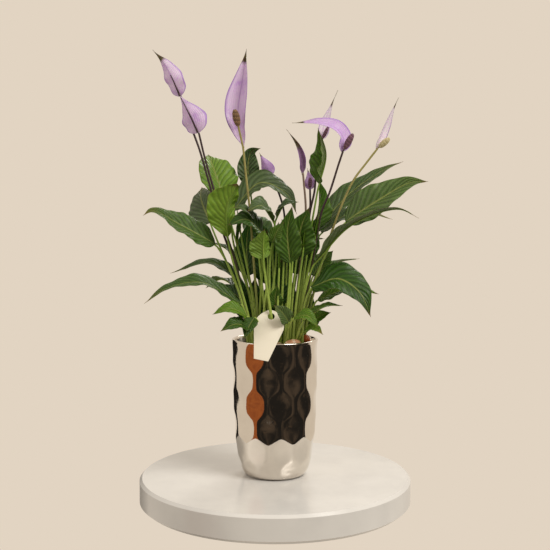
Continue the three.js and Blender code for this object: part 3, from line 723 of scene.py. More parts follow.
def pebbles():
    """The three large stones by the rim."""
    for stone_name, long, broad, tall in (("peach", 13, 6, 6), ("rust", 7, 6, 8), ("grey", 8, 6.5, 5.5)):
        node = f"pebble_{stone_name}"
        piece = pebble(f"{stone_name}_pebble", node, long, broad, tall)
        finish_piece(wearing(piece, stone_name), f"{stone_name}_stone", node)


def gravel():
    """Small stones of the same three kinds, strewn over the soil."""
    draw = random.Random(5)
    for stone_name, count in (("peach", 5), ("grey", 7), ("rust", 3)):
        spots = []
        for _ in range(count):
            turn, reach = draw.uniform(0, 2 * math.pi), draw.uniform(0.028, 0.041)
            size = draw.uniform(0.0035, 0.006)
            level = SOIL_HEIGHT + size * 0.8
            spots.append((Vector((reach * math.sin(turn), -reach * math.cos(turn), level)), size))
        piece = lumps(f"{stone_name}_gravel", spots, count, 0.2)
        apply_modifier(piece, "SUBSURF", levels=2, render_levels=2)
        smooth(piece)
        finish_piece(wearing(piece, stone_name), f"{stone_name}_stone")


# ---- curves that stalks and blades follow ----
def catmull(points, per_span=24):
    """A centripetal Catmull-Rom curve through the points, as a close run of points."""
    if len(points) == 2:
        return [points[0].lerp(points[1], k / per_span) for k in range(per_span + 1)]
    run = []
    last = len(points) - 1
    for span in range(last):
        p1, p2 = points[span], points[span + 1]
        p0 = points[span - 1] if span else points[0] * 2 - points[1]
        p3 = points[span + 2] if span + 2 <= last else points[last] * 2 - points[last - 1]
        d0, d1, d2 = ((a - b).length ** 0.5 for a, b in ((p0, p1), (p1, p2), (p2, p3)))
        lead = ((p1 - p0) / d0 - (p2 - p0) / (d0 + d1) + (p2 - p1) / d1) * d1
        trail = ((p2 - p1) / d1 - (p3 - p1) / (d1 + d2) + (p3 - p2) / d2) * d1
        for k in range(per_span):
            t = k / per_span
            run.append((p1 * 2 - p2 * 2 + lead + trail) * t ** 3
                       + (p1 * -3 + p2 * 3 - lead * 2 - trail) * t ** 2 + lead * t + p1)
    return run + [points[last].copy()]


def evenly(run, steps):
    """The same curve, as points an equal way apart."""
    ways = [0.0]
    for a, b in zip(run, run[1:]):
        ways.append(ways[-1] + (b - a).length)
    axes = [np.interp(np.linspace(0, ways[-1], steps + 1), ways, [p[axis] for p in run]) for axis in range(3)]
    return [Vector(point) for point in zip(*axes)]


def bezier(a, b, c, d, steps):
    run = []
    for k in range(steps + 1):
        t = k / steps
        run.append(a * (1 - t) ** 3 + b * 3 * t * (1 - t) ** 2 + c * 3 * t * t * (1 - t) + d * t ** 3)
    return run


def carried_frames(points, anchor, facing):
    """Side and normal at each point, carried along with no spin, facing the given way at anchor."""
    tangents = [(points[min(i + 1, len(points) - 1)] - points[max(i - 1, 0)]).normalized()
                for i in range(len(points))]
    sides = [None] * len(points)

    def place(index, side):
        sides[index] = (side - tangents[index] * side.dot(tangents[index])).normalized()

    place(anchor, tangents[anchor].cross(facing))
    for index in range(anchor + 1, len(points)):
        place(index, sides[index - 1])
    for index in range(anchor - 1, -1, -1):
        place(index, sides[index + 1])
    return tangents, sides


def width_share(along, base_power, tip_power):
    peak = base_power / (base_power + tip_power)
    return (along ** base_power * (1 - along) ** tip_power) / (peak ** base_power * (1 - peak) ** tip_power)


def root_point(across, away):
    spread = (SOIL_RADIUS + CLEARANCE) / PLANTED_RADIUS
    return Vector((across * MM * spread, away * MM * spread, PLANT_FOOT))


def plant_point(point):
    return Vector((point[0] * MM, point[1] * MM, PLANT_FOOT + point[2] * MM))


# ---- blanks that every blade is bent from ----
def blade_blank():
    """A flat slab, two units square and two thick, that is bent into each leaf and spathe."""
    deselect_all()
    bpy.ops.mesh.primitive_grid_add(x_subdivisions=ACROSS, y_subdivisions=ALONG, size=2, calc_uvs=True)
    piece = named("blade_blank")
    apply_modifier(piece, "SOLIDIFY", thickness=2, offset=0)
    return piece


BLANK = blade_blank()
BLANK_POINTS = points_of(BLANK).copy()


def tube(name, points, radii, resolution=2):
    """A round stalk along the points, swollen or drawn in as the radii say."""
    curve = bpy.data.curves.new(name, "CURVE")
    curve.dimensions = "3D"
    curve.bevel_depth = 1.0
    curve.bevel_resolution = resolution
    curve.use_fill_caps = True
    spline = curve.splines.new("POLY")
    spline.points.add(len(points) - 1)
    for slot, point, radius in zip(spline.points, points, radii):
        slot.co = (*point, 1)
        slot.radius = radius
    piece = bpy.data.objects.new(name, curve)
    bpy.context.collection.objects.link(piece)
    only(piece)
    bpy.ops.object.convert(target="MESH")
    piece = bpy.context.object
    smooth(piece)
    return piece


def tone_of(piece, light=0.0, grey=0.0, dry=0.0, under=None):
    """Stores a blade's own light, grey, dry and underside shares for its finish; the light share is fresh
    green together with painted backlight, and the grey share is a painted sheen.
    """
    tone = piece.data.attributes.new("tone", "FLOAT_COLOR", "POINT")
    values = np.tile(np.array([light, grey, dry, 0.0]), (len(piece.data.vertices), 1))
    if under is not None:
        values[:, 3] = under
    tone.data.foreach_set("color", values.ravel())


def bent_blade(name, run, facing, shape):
    """A copy of the blank, bent along run. shape gives its width, fold, waves and thickness."""
    piece = own_copy(BLANK, name)
    centres = evenly(run, ALONG)
    tangents, sides = carried_frames(centres, ALONG // 2, Vector(facing))
    rows = np.clip(np.round((BLANK_POINTS[:, 1] + 1) / 2 * ALONG).astype(int), 0, ALONG)
    across, lift = BLANK_POINTS[:, 0], BLANK_POINTS[:, 2]
    along = rows / ALONG
    share = np.array([width_share(min(max(k / ALONG, 0.0), 1.0), *shape["powers"]) for k in range(ALONG + 1)])
    narrowest = np.where(along < 0.02, shape.get("neck", NECK_RADIUS * MM), 0.00025)
    half = np.maximum(shape["width"] / 2 * share[rows], narrowest)
    fold_share = smoothstep(np.minimum(along / 0.2, (1 - along) / 0.1))
    fold = np.radians(shape["fold"]) * fold_share
    reach = np.sqrt(across ** 2 + 0.0016) - 0.04
    edge = np.abs(across)
    out = half * across * np.cos(fold)
    up = half * reach * np.sin(fold)
    if shape.get("cup"):
        up = half * np.sin(fold) * (edge ** 1.7)
    up = up + shape.get("arch", 0.0) * half * np.sin(np.pi * edge)
    wave = shape.get("wave", 0.0) * half * edge ** 2 * fold_share
    side_phase = np.where(across > 0, 0.0, 2.1) + shape.get("phase", 0.0)
    up = up + wave * np.sin(2 * np.pi * shape.get("waves", 2.4) * along + side_phase)
    up = up + 0.4 * wave * np.sin(2 * np.pi * shape.get("waves", 2.4) * 2.7 * along + 1.7 * side_phase)
    if shape.get("quilt"):
        phase = along - 0.3 * edge ** 0.75
        swell = np.sin(np.pi * np.minimum(edge * 1.1, 1)) ** 2 * fold_share
        up = up + shape["quilt"] * np.sin(2 * np.pi * SIDE_VEINS * phase) * swell
    thin = shape["thickness"] * (1 - 0.55 * edge ** 2) * (1 - 0.4 * along)
    up = up + lift * thin / 2
    twist = np.radians(shape.get("twist", 0.0)) * (along - 0.5)
    centre = np.array([list(p) for p in centres])[rows]
    side = np.array([list(s) for s in sides])[rows]
    tangent = np.array([list(t) for t in tangents])[rows]
    turned_side = side * np.cos(twist)[:, None] + np.cross(tangent, side) * np.sin(twist)[:, None]
    turned_normal = np.cross(turned_side, tangent)
    co = centre + turned_side * out[:, None] + turned_normal * up[:, None]
    move_points(piece, co)
    tone_of(piece, *shape.get("tone", (0, 0, 0)), under=np.where(lift < 0, 1.0, 0.0))
    smooth(piece)
    return piece, (centres, tangents, sides)


# ---- leaves ----
def stalk_run(root, path):
    """A stalk leaves the soil steeply, and it bends over into the blade that it carries."""
    start, neck = root_point(*root), plant_point(path[0])
    rise = (neck - start).length
    lean = (neck - start).normalized()
    leaving = lean.lerp(UP, 0.6).normalized()
    blade = catmull([plant_point(p) for p in path])
    arriving = (blade[1] - blade[0]).normalized().lerp(lean, 0.55).normalized()
    return bezier(start, start + leaving * rise * 0.4, neck - arriving * rise * 0.3, neck, 28), blade


def leaf(node, root, path, width, facing, tone, fold=16, twist=0, stalk=PETIOLE_RADIUS, **shape):
    """One leaf: its bent blade, its stalk, and the midrib that the stalk becomes under the blade."""
    own_share = sum(ord(letter) for letter in node) * 37 % 97 / 97
    run, blade_run = stalk_run(root, path)
    settings = {"powers": (0.62, 1.3), "width": width * MM, "fold": fold, "twist": twist, "arch": 0.07,
                "wave": 0.09, "waves": 1.9 + own_share, "phase": 6 * own_share,
                "quilt": 0.0003 * width / 45, "thickness": 0.0007, "tone": tone}
    settings.update(shape)
    name = node.replace("leaf", "blade")
    blade, (centres, tangents, sides) = bent_blade(name, blade_run, facing, settings)
    wearing(blade, "leaf")
    radii = [(stalk + (NECK_RADIUS - stalk) * k / len(run)) * MM for k in range(len(run))]
    flared = [radius * (1 + 0.9 * max(0.0, 1 - k / 4) ** 2) for k, radius in enumerate(radii)]
    rib_run, rib_radii = [], []
    for k in range(2, ALONG - 3, 2):
        rib = 0.0011 * (1 - k / ALONG) ** 0.8 + 0.00022
        rib_run.append(centres[k] - sides[k].cross(tangents[k]) * rib * 0.75)
        rib_radii.append(rib)
    petiole = wearing(tube(name + "_stalk", run[:-1] + rib_run, flared[:-1] + rib_radii), "petiole")
    piece = joined([blade, petiole], name)
    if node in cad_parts:
        return finish_piece(piece, "leaf", node)
    return finish_piece(piece, "leaf")


def outer_leaves():
    """The leaves that are solids too: each one's root, curve, width, facing and tone, whose shares hold fresh
    green with painted backlight, painted grey sheen and dry tips.
    """
    leaf("leaf_01", (-37, -14), [(-89, -18, 155), (-138, -36, 183), (-178, -52, 204), (-190, -58, 197)],
         45, (-0.15, -0.66, 0.74), (0.2, 0.2, 0.4), twist=14)
    leaf("leaf_02", (-36, 20), [(-99, 24, 186), (-116, 66, 223), (-118, 108, 243)],
         52, (-0.3, -0.9, 0.15), (0.05, 0.6, 0.2), fold=6, quilt=0.00012)
    leaf("leaf_03", (-32, -22), [(-70, -28, 165), (-71, -40, 207), (-55, -52, 243)],
         60, (-0.54, 0.84, 0.1), (1, 0, 0), fold=33, powers=(0.95, 0.85))
    leaf("leaf_04", (-28, 10), [(-80, 24, 229), (-96, 52, 271), (-106, 86, 294)],
         66, (0.3, -0.75, 0.6), (0.6, 0.05, 0.1), fold=20)
    leaf("leaf_05", (-17, 30), [(-39, 48, 245), (-42, 47, 272), (-36, 43, 296), (-22, 35, 300)],
         36, (0.2, -0.75, 0.6), (0.1, 0.8, 0.1))
    leaf("leaf_06", (-20, -2), [(-63, 6, 205), (-22, 13, 246), (18, 9, 229), (33, 5, 199)],
         54, (0.1, -0.55, 0.83), (0.1, 0.6, 0.1))
    leaf("leaf_07", (-12, -20), [(-2, -28, 190), (-20, -44, 211), (-40, -56, 203)],
         44, (0.2, -0.5, 0.85), (0.15, 0.5, 0.1))
    leaf("leaf_08", (4, -12), [(2, -8, 195), (14, -18, 213), (35, -24, 217)],
         30, (0, -0.4, 0.9), (0, 0.35, 0))
    leaf("leaf_09", (-20, -30), [(-18, -34, 171), (-42, -44, 191), (-68, -50, 183)],
         44, (0.1, -0.6, 0.8), (0.05, 0.15, 0))
    leaf("leaf_10", *TAG_STALK,
         42, (-0.5, 0.8, 0.2), (0.8, 0.05, 0), fold=33, stalk=2.6)
    leaf("leaf_11", (14, -28), [(22, -34, 127), (18, -40, 175), (25, -46, 211)],
         42, (0.1, -0.85, 0.4), (0.15, 0.05, 0))
    leaf("leaf_12", (22, -20), [(32, -22, 135), (38, -30, 179), (50, -38, 209)],
         52, (0.2, -0.8, 0.5), (0.15, 0.05, 0))
    leaf("leaf_13", (34, 0), [(66, 4, 245), (76, 3, 289), (64, 0, 328)],
         50, (-0.85, -0.4, 0.1), (0.3, 0.05, 0.1), fold=45)
    leaf("leaf_14", (33, 10), [(62, 22, 177), (68, 24, 217), (66, 20, 254)],
         42, (0.7, -0.6, 0.1), (0.2, 0.05, 0), fold=40)
    leaf("leaf_15", (37, 24), [(60, 40, 171), (124, 60, 237), (178, 70, 272), (202, 73, 282)],
         46, (-0.35, -0.55, 0.78), (0.1, 0.35, 0.15))
    leaf("leaf_16", (36, -9), [(105, -14, 188), (152, -22, 219), (198, -26, 245), (225, -28, 247)],
         56, (-0.3, -0.8, 0.5), (0.35, 0.55, 0.1))
    leaf("leaf_17", (34, -18), [(58, -32, 127), (110, -54, 183), (176, -68, 206), (205, -74, 193)],
         42, (-0.2, 0.1, 0.97), (0.15, 0.4, 0.35))
    leaf("leaf_18", (34, 28), [(72, 48, 171), (128, 74, 204), (188, 90, 191)],
         40, (-0.1, -0.35, 0.93), (0.1, 0.3, 0.6), twist=18)
    leaf("leaf_19", (40, -28), [(54, -38, 92), (92, -54, 105), (122, -68, 86), (137, -76, 52)],
         60, (0.3, -0.78, 0.55), (0.02, 0, 0.05), fold=12)
    leaf("leaf_20", (43, 0), [(64, -8, 71), (112, -20, 88), (154, -28, 81)],
         44, (0.1, -0.45, 0.88), (0.35, 0.05, 0.1))
    leaf("leaf_21", (43, 11), [(58, 20, 105), (74, 30, 127), (90, 38, 143)],
         40, (-0.2, -0.8, 0.5), (0.25, 0.05, 0))
    leaf("leaf_22", (28, 36), [(60, 54, 95), (98, 68, 123), (134, 74, 129)],
         28, (0, 0, 1), (0.2, 0.2, 0.3))
    leaf("leaf_23", (29, -30), [(46, -46, 49), (74, -56, 66), (98, -60, 67)],
         24, (0.1, -0.3, 0.95), (0.35, 0, 0.1))
    leaf("leaf_24", (41, -8), [(52, -20, 35), (66, -32, 48), (82, -40, 55)],
         26, (0.1, -0.8, 0.6), (0.4, 0, 0.05))
    leaf("leaf_25", (15, -36), [(28, -56, 49), (46, -67, 53), (62, -73, 37)],
         26, (0.1, -0.6, 0.8), (0.4, 0, 0.1))
    leaf("leaf_26", (-38, 26), [(-44, 38, 85), (-98, 54, 123), (-166, 70, 106)],
         32, (0.1, -0.35, 0.93), (0.1, 0.2, 0.3), twist=-24)
    leaf("leaf_27", (-40, -22), [(-50, -30, 67), (-108, -44, 99), (-158, -54, 91), (-189, -62, 70)],
         38, (0.1, -0.4, 0.9), (0.1, 0.2, 0.3))
    leaf("leaf_28", (-27, -34), [(-41, -50, 51), (-65, -62, 63), (-90, -68, 55)],
         28, (0.1, -0.6, 0.8), (0.5, 0, 0))
    leaf("leaf_29", (-22, -38), [(-38, -54, 34), (-57, -71, 41), (-78, -79, 32)],
         30, (0.1, -0.6, 0.8), (0.1, 0, 0.2))
    leaf("leaf_30", (-24, 40), [(-50, 58, 117), (-78, 78, 145), (-110, 92, 157)],
         30, (0, 0.1, 1), (0.1, 0.1, 0.1))
    leaf("leaf_31", (0, 28), [(-6, 40, 89), (-4, 54, 135), (6, 66, 187)],
         66, (0, -1, 0.4), (0, 0, 0))
    leaf("leaf_32", (-8, 42), [(-20, 62, 145), (-34, 106, 189), (-46, 152, 189)],
         50, (0, -0.3, 0.95), (0.1, 0.05, 0.1))
    leaf("leaf_33", (12, 43), [(22, 66, 105), (34, 116, 131), (40, 158, 105)],
         48, (0, 0.2, 0.98), (0.1, 0.05, 0.1), twist=22)


def inner_leaves():
    """The small and inner leaves that fill the clump."""
    leaf("leaf_34", (-24, -10), [(-30, -34, 193), (-46, -44, 207), (-62, -50, 209)],
         20, (0.1, -0.6, 0.8), (0.15, 0.45, 0.2))
    leaf("leaf_35", (-6, -26), [(-4, -40, 157), (3, -46, 174), (13, -50, 188)],
         22, (0.1, -0.8, 0.5), (0.3, 0.1, 0))
    leaf("leaf_36", (34, -24), [(42, -40, 27), (58, -50, 33), (70, -56, 24)],
         20, (0.1, -0.6, 0.8), (0.55, 0, 0.8))
    leaf("leaf_37", (-34, 12), [(-48, 6, 67), (-74, 14, 85), (-98, 20, 89)],
         28, (0.1, -0.5, 0.85), (0, 0.05, 0))
    leaf("leaf_38", (-20, -36), [(-30, -54, 49), (-38, -64, 36), (-44, -72, 20)],
         22, (-0.2, -0.9, 0.3), (0.1, 0, 0))
    leaf("leaf_39", (-24, 20), [(-40, 30, 105), (-44, 36, 148), (-40, 32, 190)],
         42, (0.1, -1, 0.2), (0, 0, 0))
    leaf("leaf_40", (14, -42), [(20, -46, 41), (10, -56, 57), (-2, -62, 68)],
         26, (0.3, -0.9, 0.3), (0.6, 0.75, 0.1))
    leaf("leaf_41", (4, -18), [(2, -30, 60), (0, -36, 78), (4, -40, 96)],
         24, (0.2, -0.9, 0.3), (0.15, 0, 0))
    leaf("leaf_42", (16, 8), [(18, 0, 128), (20, -2, 160), (10, -6, 192)],
         40, (0.2, -0.95, 0.2), (0.05, 0, 0))
    leaf("leaf_43", (22, 24), [(30, 24, 108), (38, 26, 142), (46, 20, 178)],
         44, (-0.1, -0.95, 0.2), (0, 0, 0))
    leaf("leaf_44", (-8, 14), [(-14, 14, 96), (-16, 12, 136), (-12, 4, 176)],
         42, (0, -0.95, 0.3), (0, 0.05, 0))
    leaf("leaf_45", (10, 22), [(16, 34, 92), (26, 50, 124), (40, 60, 150)],
         46, (0.1, 0.3, 0.9), (0.05, 0.05, 0.1))
    leaf("leaf_46", (-18, 34), [(-28, 50, 110), (-42, 72, 142), (-60, 92, 150)],
         44, (0, 0.3, 0.95), (0.1, 0.1, 0.1))
    leaf("leaf_47", (24, 36), [(38, 60, 120), (58, 86, 156), (80, 104, 160)],
         44, (0.1, 0.3, 0.95), (0.1, 0.1, 0.2))
    leaf("leaf_48", (-2, 40), [(-4, 66, 100), (-2, 96, 124), (4, 124, 116)],
         40, (0, 0.3, 0.95), (0.15, 0.05, 0.1))
    leaf("leaf_49", (-34, 30), [(-58, 52, 84), (-86, 78, 96), (-112, 98, 80)],
         34, (0, 0.2, 0.95), (0.2, 0.05, 0.1))
    leaf("leaf_50", (36, 26), [(62, 56, 78), (88, 86, 92), (112, 110, 78)],
         36, (0.1, 0.2, 0.95), (0.2, 0.05, 0.2))
    leaf("leaf_51", (-10, 40), [(-20, 70, 60), (-30, 96, 70), (-44, 118, 56)],
         30, (0, 0.3, 0.95), (0.3, 0, 0.1))
    leaf("leaf_52", (16, 40), [(26, 72, 56), (32, 98, 64), (44, 122, 48)],
         30, (0, 0.3, 0.95), (0.3, 0, 0.1))
    leaf("leaf_53", (-14, 6), [(-30, 16, 30), (-34, 20, 66), (-30, 22, 104)],
         40, (0.2, -0.95, 0.2), (0, 0, 0))
    leaf("leaf_54", (2, 14), [(-8, 20, 26), (-10, 22, 62), (-4, 20, 100)],
         44, (0.1, -0.95, 0.2), (0, 0, 0))
    leaf("leaf_55", (12, 18), [(14, 26, 30), (18, 28, 68), (22, 28, 108)],
         44, (-0.1, -0.95, 0.2), (0, 0, 0))
    leaf("leaf_56", (26, 14), [(38, 24, 26), (46, 26, 60), (50, 28, 94)],
         42, (-0.2, -0.95, 0.2), (0.05, 0, 0))
    leaf("leaf_57", (-26, 14), [(-44, 20, 40), (-54, 22, 76), (-58, 22, 112)],
         34, (0.3, -0.9, 0.2), (0.05, 0, 0))
    leaf("leaf_58", (6, -6), [(8, 4, 60), (6, 6, 96), (10, 2, 132)],
         40, (0, -0.95, 0.3), (0, 0, 0))
    leaf("leaf_59", (-4, 2), [(-16, 10, 130), (-22, 8, 166), (-34, 2, 196)],
         42, (0.1, -0.9, 0.4), (0.05, 0.1, 0))
    leaf("leaf_60", (30, 8), [(46, 10, 130), (54, 8, 164), (64, 2, 196)],
         40, (-0.3, -0.9, 0.3), (0.1, 0.05, 0))


def shoots():
    """Bare young stalks whose leaves have not opened yet."""
    roots_and_tops = (((8, -22), (14, -30, 150)), ((18, -26), (26, -34, 132)), ((26, -22), (42, -28, 150)),
                      ((-12, -16), (-26, -24, 160)), ((-24, -4), (-52, -10, 176)),
                      ((30, -14), (60, -18, 166)), ((2, -30), (6, -40, 120)))
    for number, (root, (x, y, z)) in enumerate(roots_and_tops, 1):
        path = [(x, y, z), (x * 1.04, y - 2, z + 16), (x * 1.1, y - 3, z + 34)]
        leaf(f"shoot_{number}", root, path, 7, (0, -0.9, 0.3), (0.45, 0, 0.1), fold=60, stalk=2.3)


def dry_tip():
    """A dead leaf's tip that hangs, curled and brown, among the stalks."""
    path = [(-46, -4, 190), (-54, -10, 184), (-57, -14, 166), (-56, -16, 152)]
    curled = {"powers": (0.7, 1.1), "width": 0.011, "fold": 55, "wave": 0.25, "thickness": 0.0005,
              "neck": 0.0008, "tone": (0.1, 0.1, 1.0)}
    blade, _ = bent_blade("withered_tip", catmull([plant_point(p) for p in path]), (0.3, -0.9, 0.2), curled)
    finish_piece(wearing(blade, "leaf"), "leaf")


# ---- flowers ----
def floret_core(name, throat, tip, radius, bare=0.0):
    """The spadix: a swollen finger set all round with florets in a spiral, above its bare share."""
    throat = throat.lerp(tip, bare)
    way = tip - throat
    steps = 20
    body = [math.sqrt(max(0.0, 1 - ((k / steps - 0.58) / 0.43) ** 2)) for k in range(steps + 1)]
    run = [throat + way * (k / steps) for k in range(steps + 1)]
    core = tube(name, run, [max(0.0009, radius * 0.9 * share) for share in body], 3)
    # the core is left at the gap colour, the painted shade between the florets
    values = np.tile(np.array([0.0, 0.0, 0.0, 1.0]), (len(core.data.vertices), 1))
    core.data.attributes.new("tone", "FLOAT_COLOR", "POINT").data.foreach_set("color", values.ravel())
    across = way.normalized().orthogonal().normalized()
    other = way.normalized().cross(across)
    size = max(0.0006, radius * 0.2)
    count = int(3.1 * way.length * 0.8 * radius * 2 / (size * 1.75) ** 2)
    deselect_all()
    bpy.ops.mesh.primitive_ico_sphere_add(subdivisions=2, radius=1)
    bud = named(name + "_florets")
    ball = points_of(bud).copy()
    faces = [tuple(face.vertices) for face in bud.data.polygons]
    verts, polygons, shares = [], [], []
    for k in range(count):
        along = 0.17 + 0.83 * (k + 0.5) / count
        girth = radius * 0.92 * math.sqrt(max(0.0, 1 - ((along - 0.58) / 0.43) ** 2))
        angle = k * GOLDEN_ANGLE
        out = across * math.cos(angle) + other * math.sin(angle)
        centre = throat + way * along + out * girth
        first = len(verts)
        verts.extend(tuple(np.array(centre) + v * size) for v in ball)
        polygons.extend(tuple(first + corner for corner in face) for face in faces)
        # painted shade: each floret is dark on its sides and on the side towards the core, and lighter on its
        # outer face by a share that differs from floret to floret
        ripe = 0.25 + 0.75 * ((k * 7) % 5) / 4
        shares.extend(max(0.0, min(1.0, 0.1 + ripe * float(np.dot(v, out)))) for v in ball)
    bud.data.clear_geometry()
    bud.data.from_pydata(verts, [], polygons)
    bud.data.update()
    values = np.stack([shares, shares, shares, np.ones(len(shares))], 1)
    bud.data.attributes.new("tone", "FLOAT_COLOR", "POINT").data.foreach_set("color", values.ravel())
    smooth(bud)
    return joined([core, bud], name)


def flower(number, root, path, spadix, spathe, spadix_radius=4.4, stem="darkStem", florets="spadix",
           closed=False, bare=0.0, ribbed=0.0):
    """A stem with its spadix, and the spathe, seated behind the spadix or on a closed bud.

    bare is the share of the spadix that has no florets, and ribbed is how far the stem's colour
    runs up the back of the spathe as a rib.
    """
    stem_points = [root_point(*root)] + [plant_point(p) for p in path]
    throat, tip = stem_points[-1], plant_point(spadix)
    run = evenly(catmull(stem_points), 60)
    radii = [(STEM_FOOT_RADIUS + (THROAT_RADIUS - STEM_FOOT_RADIUS) * k / 60) * MM
             * (1 + 0.02 * math.sin(k * 0.9)) for k in range(61)]
    radii[0] *= 1.7
    radii[1] *= 1.3
    if closed:
        run.append(tip)
        radii.append(0.0019)
    elif bare:
        run.append(throat.lerp(tip, bare * 1.2))
        radii.append(THROAT_RADIUS * MM)
    slot = "dark_stem" if stem == "darkStem" else "green_stem"
    stalk = wearing(tube(f"stem_{number}", run, radii, 3), stem)
    finish_piece(stalk, slot, f"flower_{number}_stem")
    if not closed:
        core = floret_core(f"spadix_{number}", throat, tip, spadix_radius * MM, bare)
        finish_piece(wearing(core, florets), slot)

    facing, behind = Vector(spathe["facing"]), spathe.get("behind")
    if closed:
        seat = tip + (tip - throat).normalized() * 0.0004
    else:
        back = Vector(behind) if behind else -Vector((facing.x, facing.y, 0)).normalized()
        seat = throat + back * SPATHE_SEAT
    settings = {"powers": (0.7, 1.8), "fold": 26, "cup": True, "wave": 0.05, "waves": 1.3, "phase": number,
                "thickness": 0.0008, "tone": (0.1, 0, 0.14)}
    settings.update({key: value for key, value in spathe.items() if key not in ("facing", "behind", "path")})
    settings["width"] *= MM
    node = f"flower_{number}_{'bud' if closed else 'spathe'}"
    name = node.replace("flower", "bloom")
    hood, (centres, tangents, sides) = bent_blade(
        name, catmull([seat] + [plant_point(p) for p in spathe["path"]]), facing, settings)
    wearing(hood, "spathe")
    if ribbed:
        rib_run, rib_radii = [], []
        for k in range(1, int(ALONG * ribbed), 2):
            rib = 0.0015 - 0.0010 * k / (ALONG * ribbed)
            rib_run.append(centres[k] - sides[k].cross(tangents[k]) * rib * 0.8)
            rib_radii.append(rib)
        hood = joined([hood, wearing(tube(name + "_rib", rib_run, rib_radii), stem)], name)
    finish_piece(hood, "spathe", node)


def flowers():
    """The nine flowers: each one's stem, the tip of its spadix, and its spathe."""
    flower(1, (-41, 5),
           [(-58, 8, 115), (-77, 6, 167), (-96, 4, 235), (-113, 4, 295), (-125, 6, 328), (-141, 8, 375)],
           (-152, 22, 395),
           {"path": [(-152, -1, 399), (-165, 0, 423), (-182, 2, 443)], "width": 34,
            "facing": (0.3, 0.9, 0.3), "tone": (0.5, 0, 0.34), "wave": 0.2},
           ribbed=0.45)
    flower(2, (-41, -3),
           [(-56, -6, 115), (-72, -6, 167), (-91, -8, 235), (-105, -8, 285), (-113, -8, 319)],
           (-124, 6, 339),
           {"path": [(-126, -16, 346), (-142, -14, 377)], "width": 44,
            "facing": (0.3, 0.9, 0.2), "tone": (0.35, 0, 0.1), "wave": 0.14},
           ribbed=0.92)
    flower(3, (-22, -12),
           [(-30, -16, 105), (-37, -18, 202), (-43, -18, 258), (-47, -18, 297)],
           (-59, -28, 351),
           {"path": [(-55, -7, 345), (-47, -8, 405), (-42, -12, 442)], "width": 42,
            "facing": (-0.3, -0.95, 0), "fold": 38, "tone": (0.4, 0, 0.16), "powers": (1.25, 1.6)},
           spadix_radius=5, stem="greenStem", florets="brownSpadix", bare=0.5)
    flower(4, (10, 8),
           [(12, 16, 105), (14, 30, 201), (2, 37, 241), (-7, 37, 257)],
           (-13, 41, 273),
           {"path": [(-14, 31, 273), (-24, 32, 293)], "width": 23,
            "facing": (0.2, 0.9, 0.2), "tone": (0, 0.1, 0.2)},
           spadix_radius=3)
    flower(5, (24, 2),
           [(36, -2, 105), (46, -6, 202), (43, -8, 245), (42, -8, 257)],
           (41, -8, 260),
           {"path": [(41, -8, 281), (34, -8, 301), (17, -8, 325)], "width": 12.5,
            "facing": (0, -1, 0), "fold": 40, "tone": (0, 0.95, 0.62), "neck": 0.0019},
           spadix_radius=2, stem="mauveStem", closed=True)
    flower(6, (20, 31),
           [(40, 37, 105), (54, 39, 205), (54, 39, 237)],
           (54, 34, 255),
           {"path": [(53, 43, 254), (50, 43, 270)], "width": 18,
            "facing": (0, -0.9, 0.1), "tone": (0.2, 0.1, 0.2)},
           spadix_radius=3)
    flower(7, (30, -10),
           [(52, -15, 105), (69, -18, 202), (81, -20, 232), (94, -20, 273), (100, -20, 291)],
           (114, -27, 316),
           {"path": [(101, -12, 311), (91, -13, 325), (67, -16, 333), (25, -20, 333)], "width": 30,
            "facing": (0.15, -0.72, 0.66), "behind": (-0.8, 0.6, 0), "tone": (0.1, 0, 0.2)})
    flower(8, (22, 10),
           [(42, 12, 105), (53, 13, 202), (60, 15, 235), (63, 18, 276), (71, 18, 311)],
           (80, 12, 330),
           {"path": [(74, 22, 335), (84, 22, 361), (95, 20, 386)], "width": 20,
            "facing": (0.4, -0.9, 0), "tone": (1, 0, 0.42), "powers": (0.8, 2.9)},
           spadix_radius=2.6)
    flower(9, (38, 4),
           [(74, 12, 135), (102, 14, 215), (120, 16, 252), (138, 18, 276), (155, 18, 298)],
           (172, 12, 313),
           {"path": [(164, 24, 325), (175, 23, 350), (187, 21, 375)], "width": 21,
            "facing": (0.7, -0.6, -0.2), "tone": (1, 0, 0.24), "powers": (0.9, 2.1)},
           stem="greenStem", florets="creamSpadix")


# ---- paper tag ----
def tag_outline():
    """Straight at its foot, and rounded from its shoulders to its top."""
    half, foot, shoulder = TAG_WIDTH / 2, TAG_FOOT_WIDTH / 2, -TAG_SHOULDER_DROP
    top = Vector((0, 0))
    right = bezier(Vector((half, shoulder)), Vector((half, shoulder / 2)), Vector((foot, 0)), top, 14)
    left = bezier(top, Vector((-foot, 0)), Vector((-half, shoulder / 2)), Vector((-half, shoulder)), 14)
    outline = [(-foot, -TAG_LENGTH), (foot, -TAG_LENGTH), (half, shoulder)]
    return outline + [tuple(point) for point in right[1:] + left[1:]]


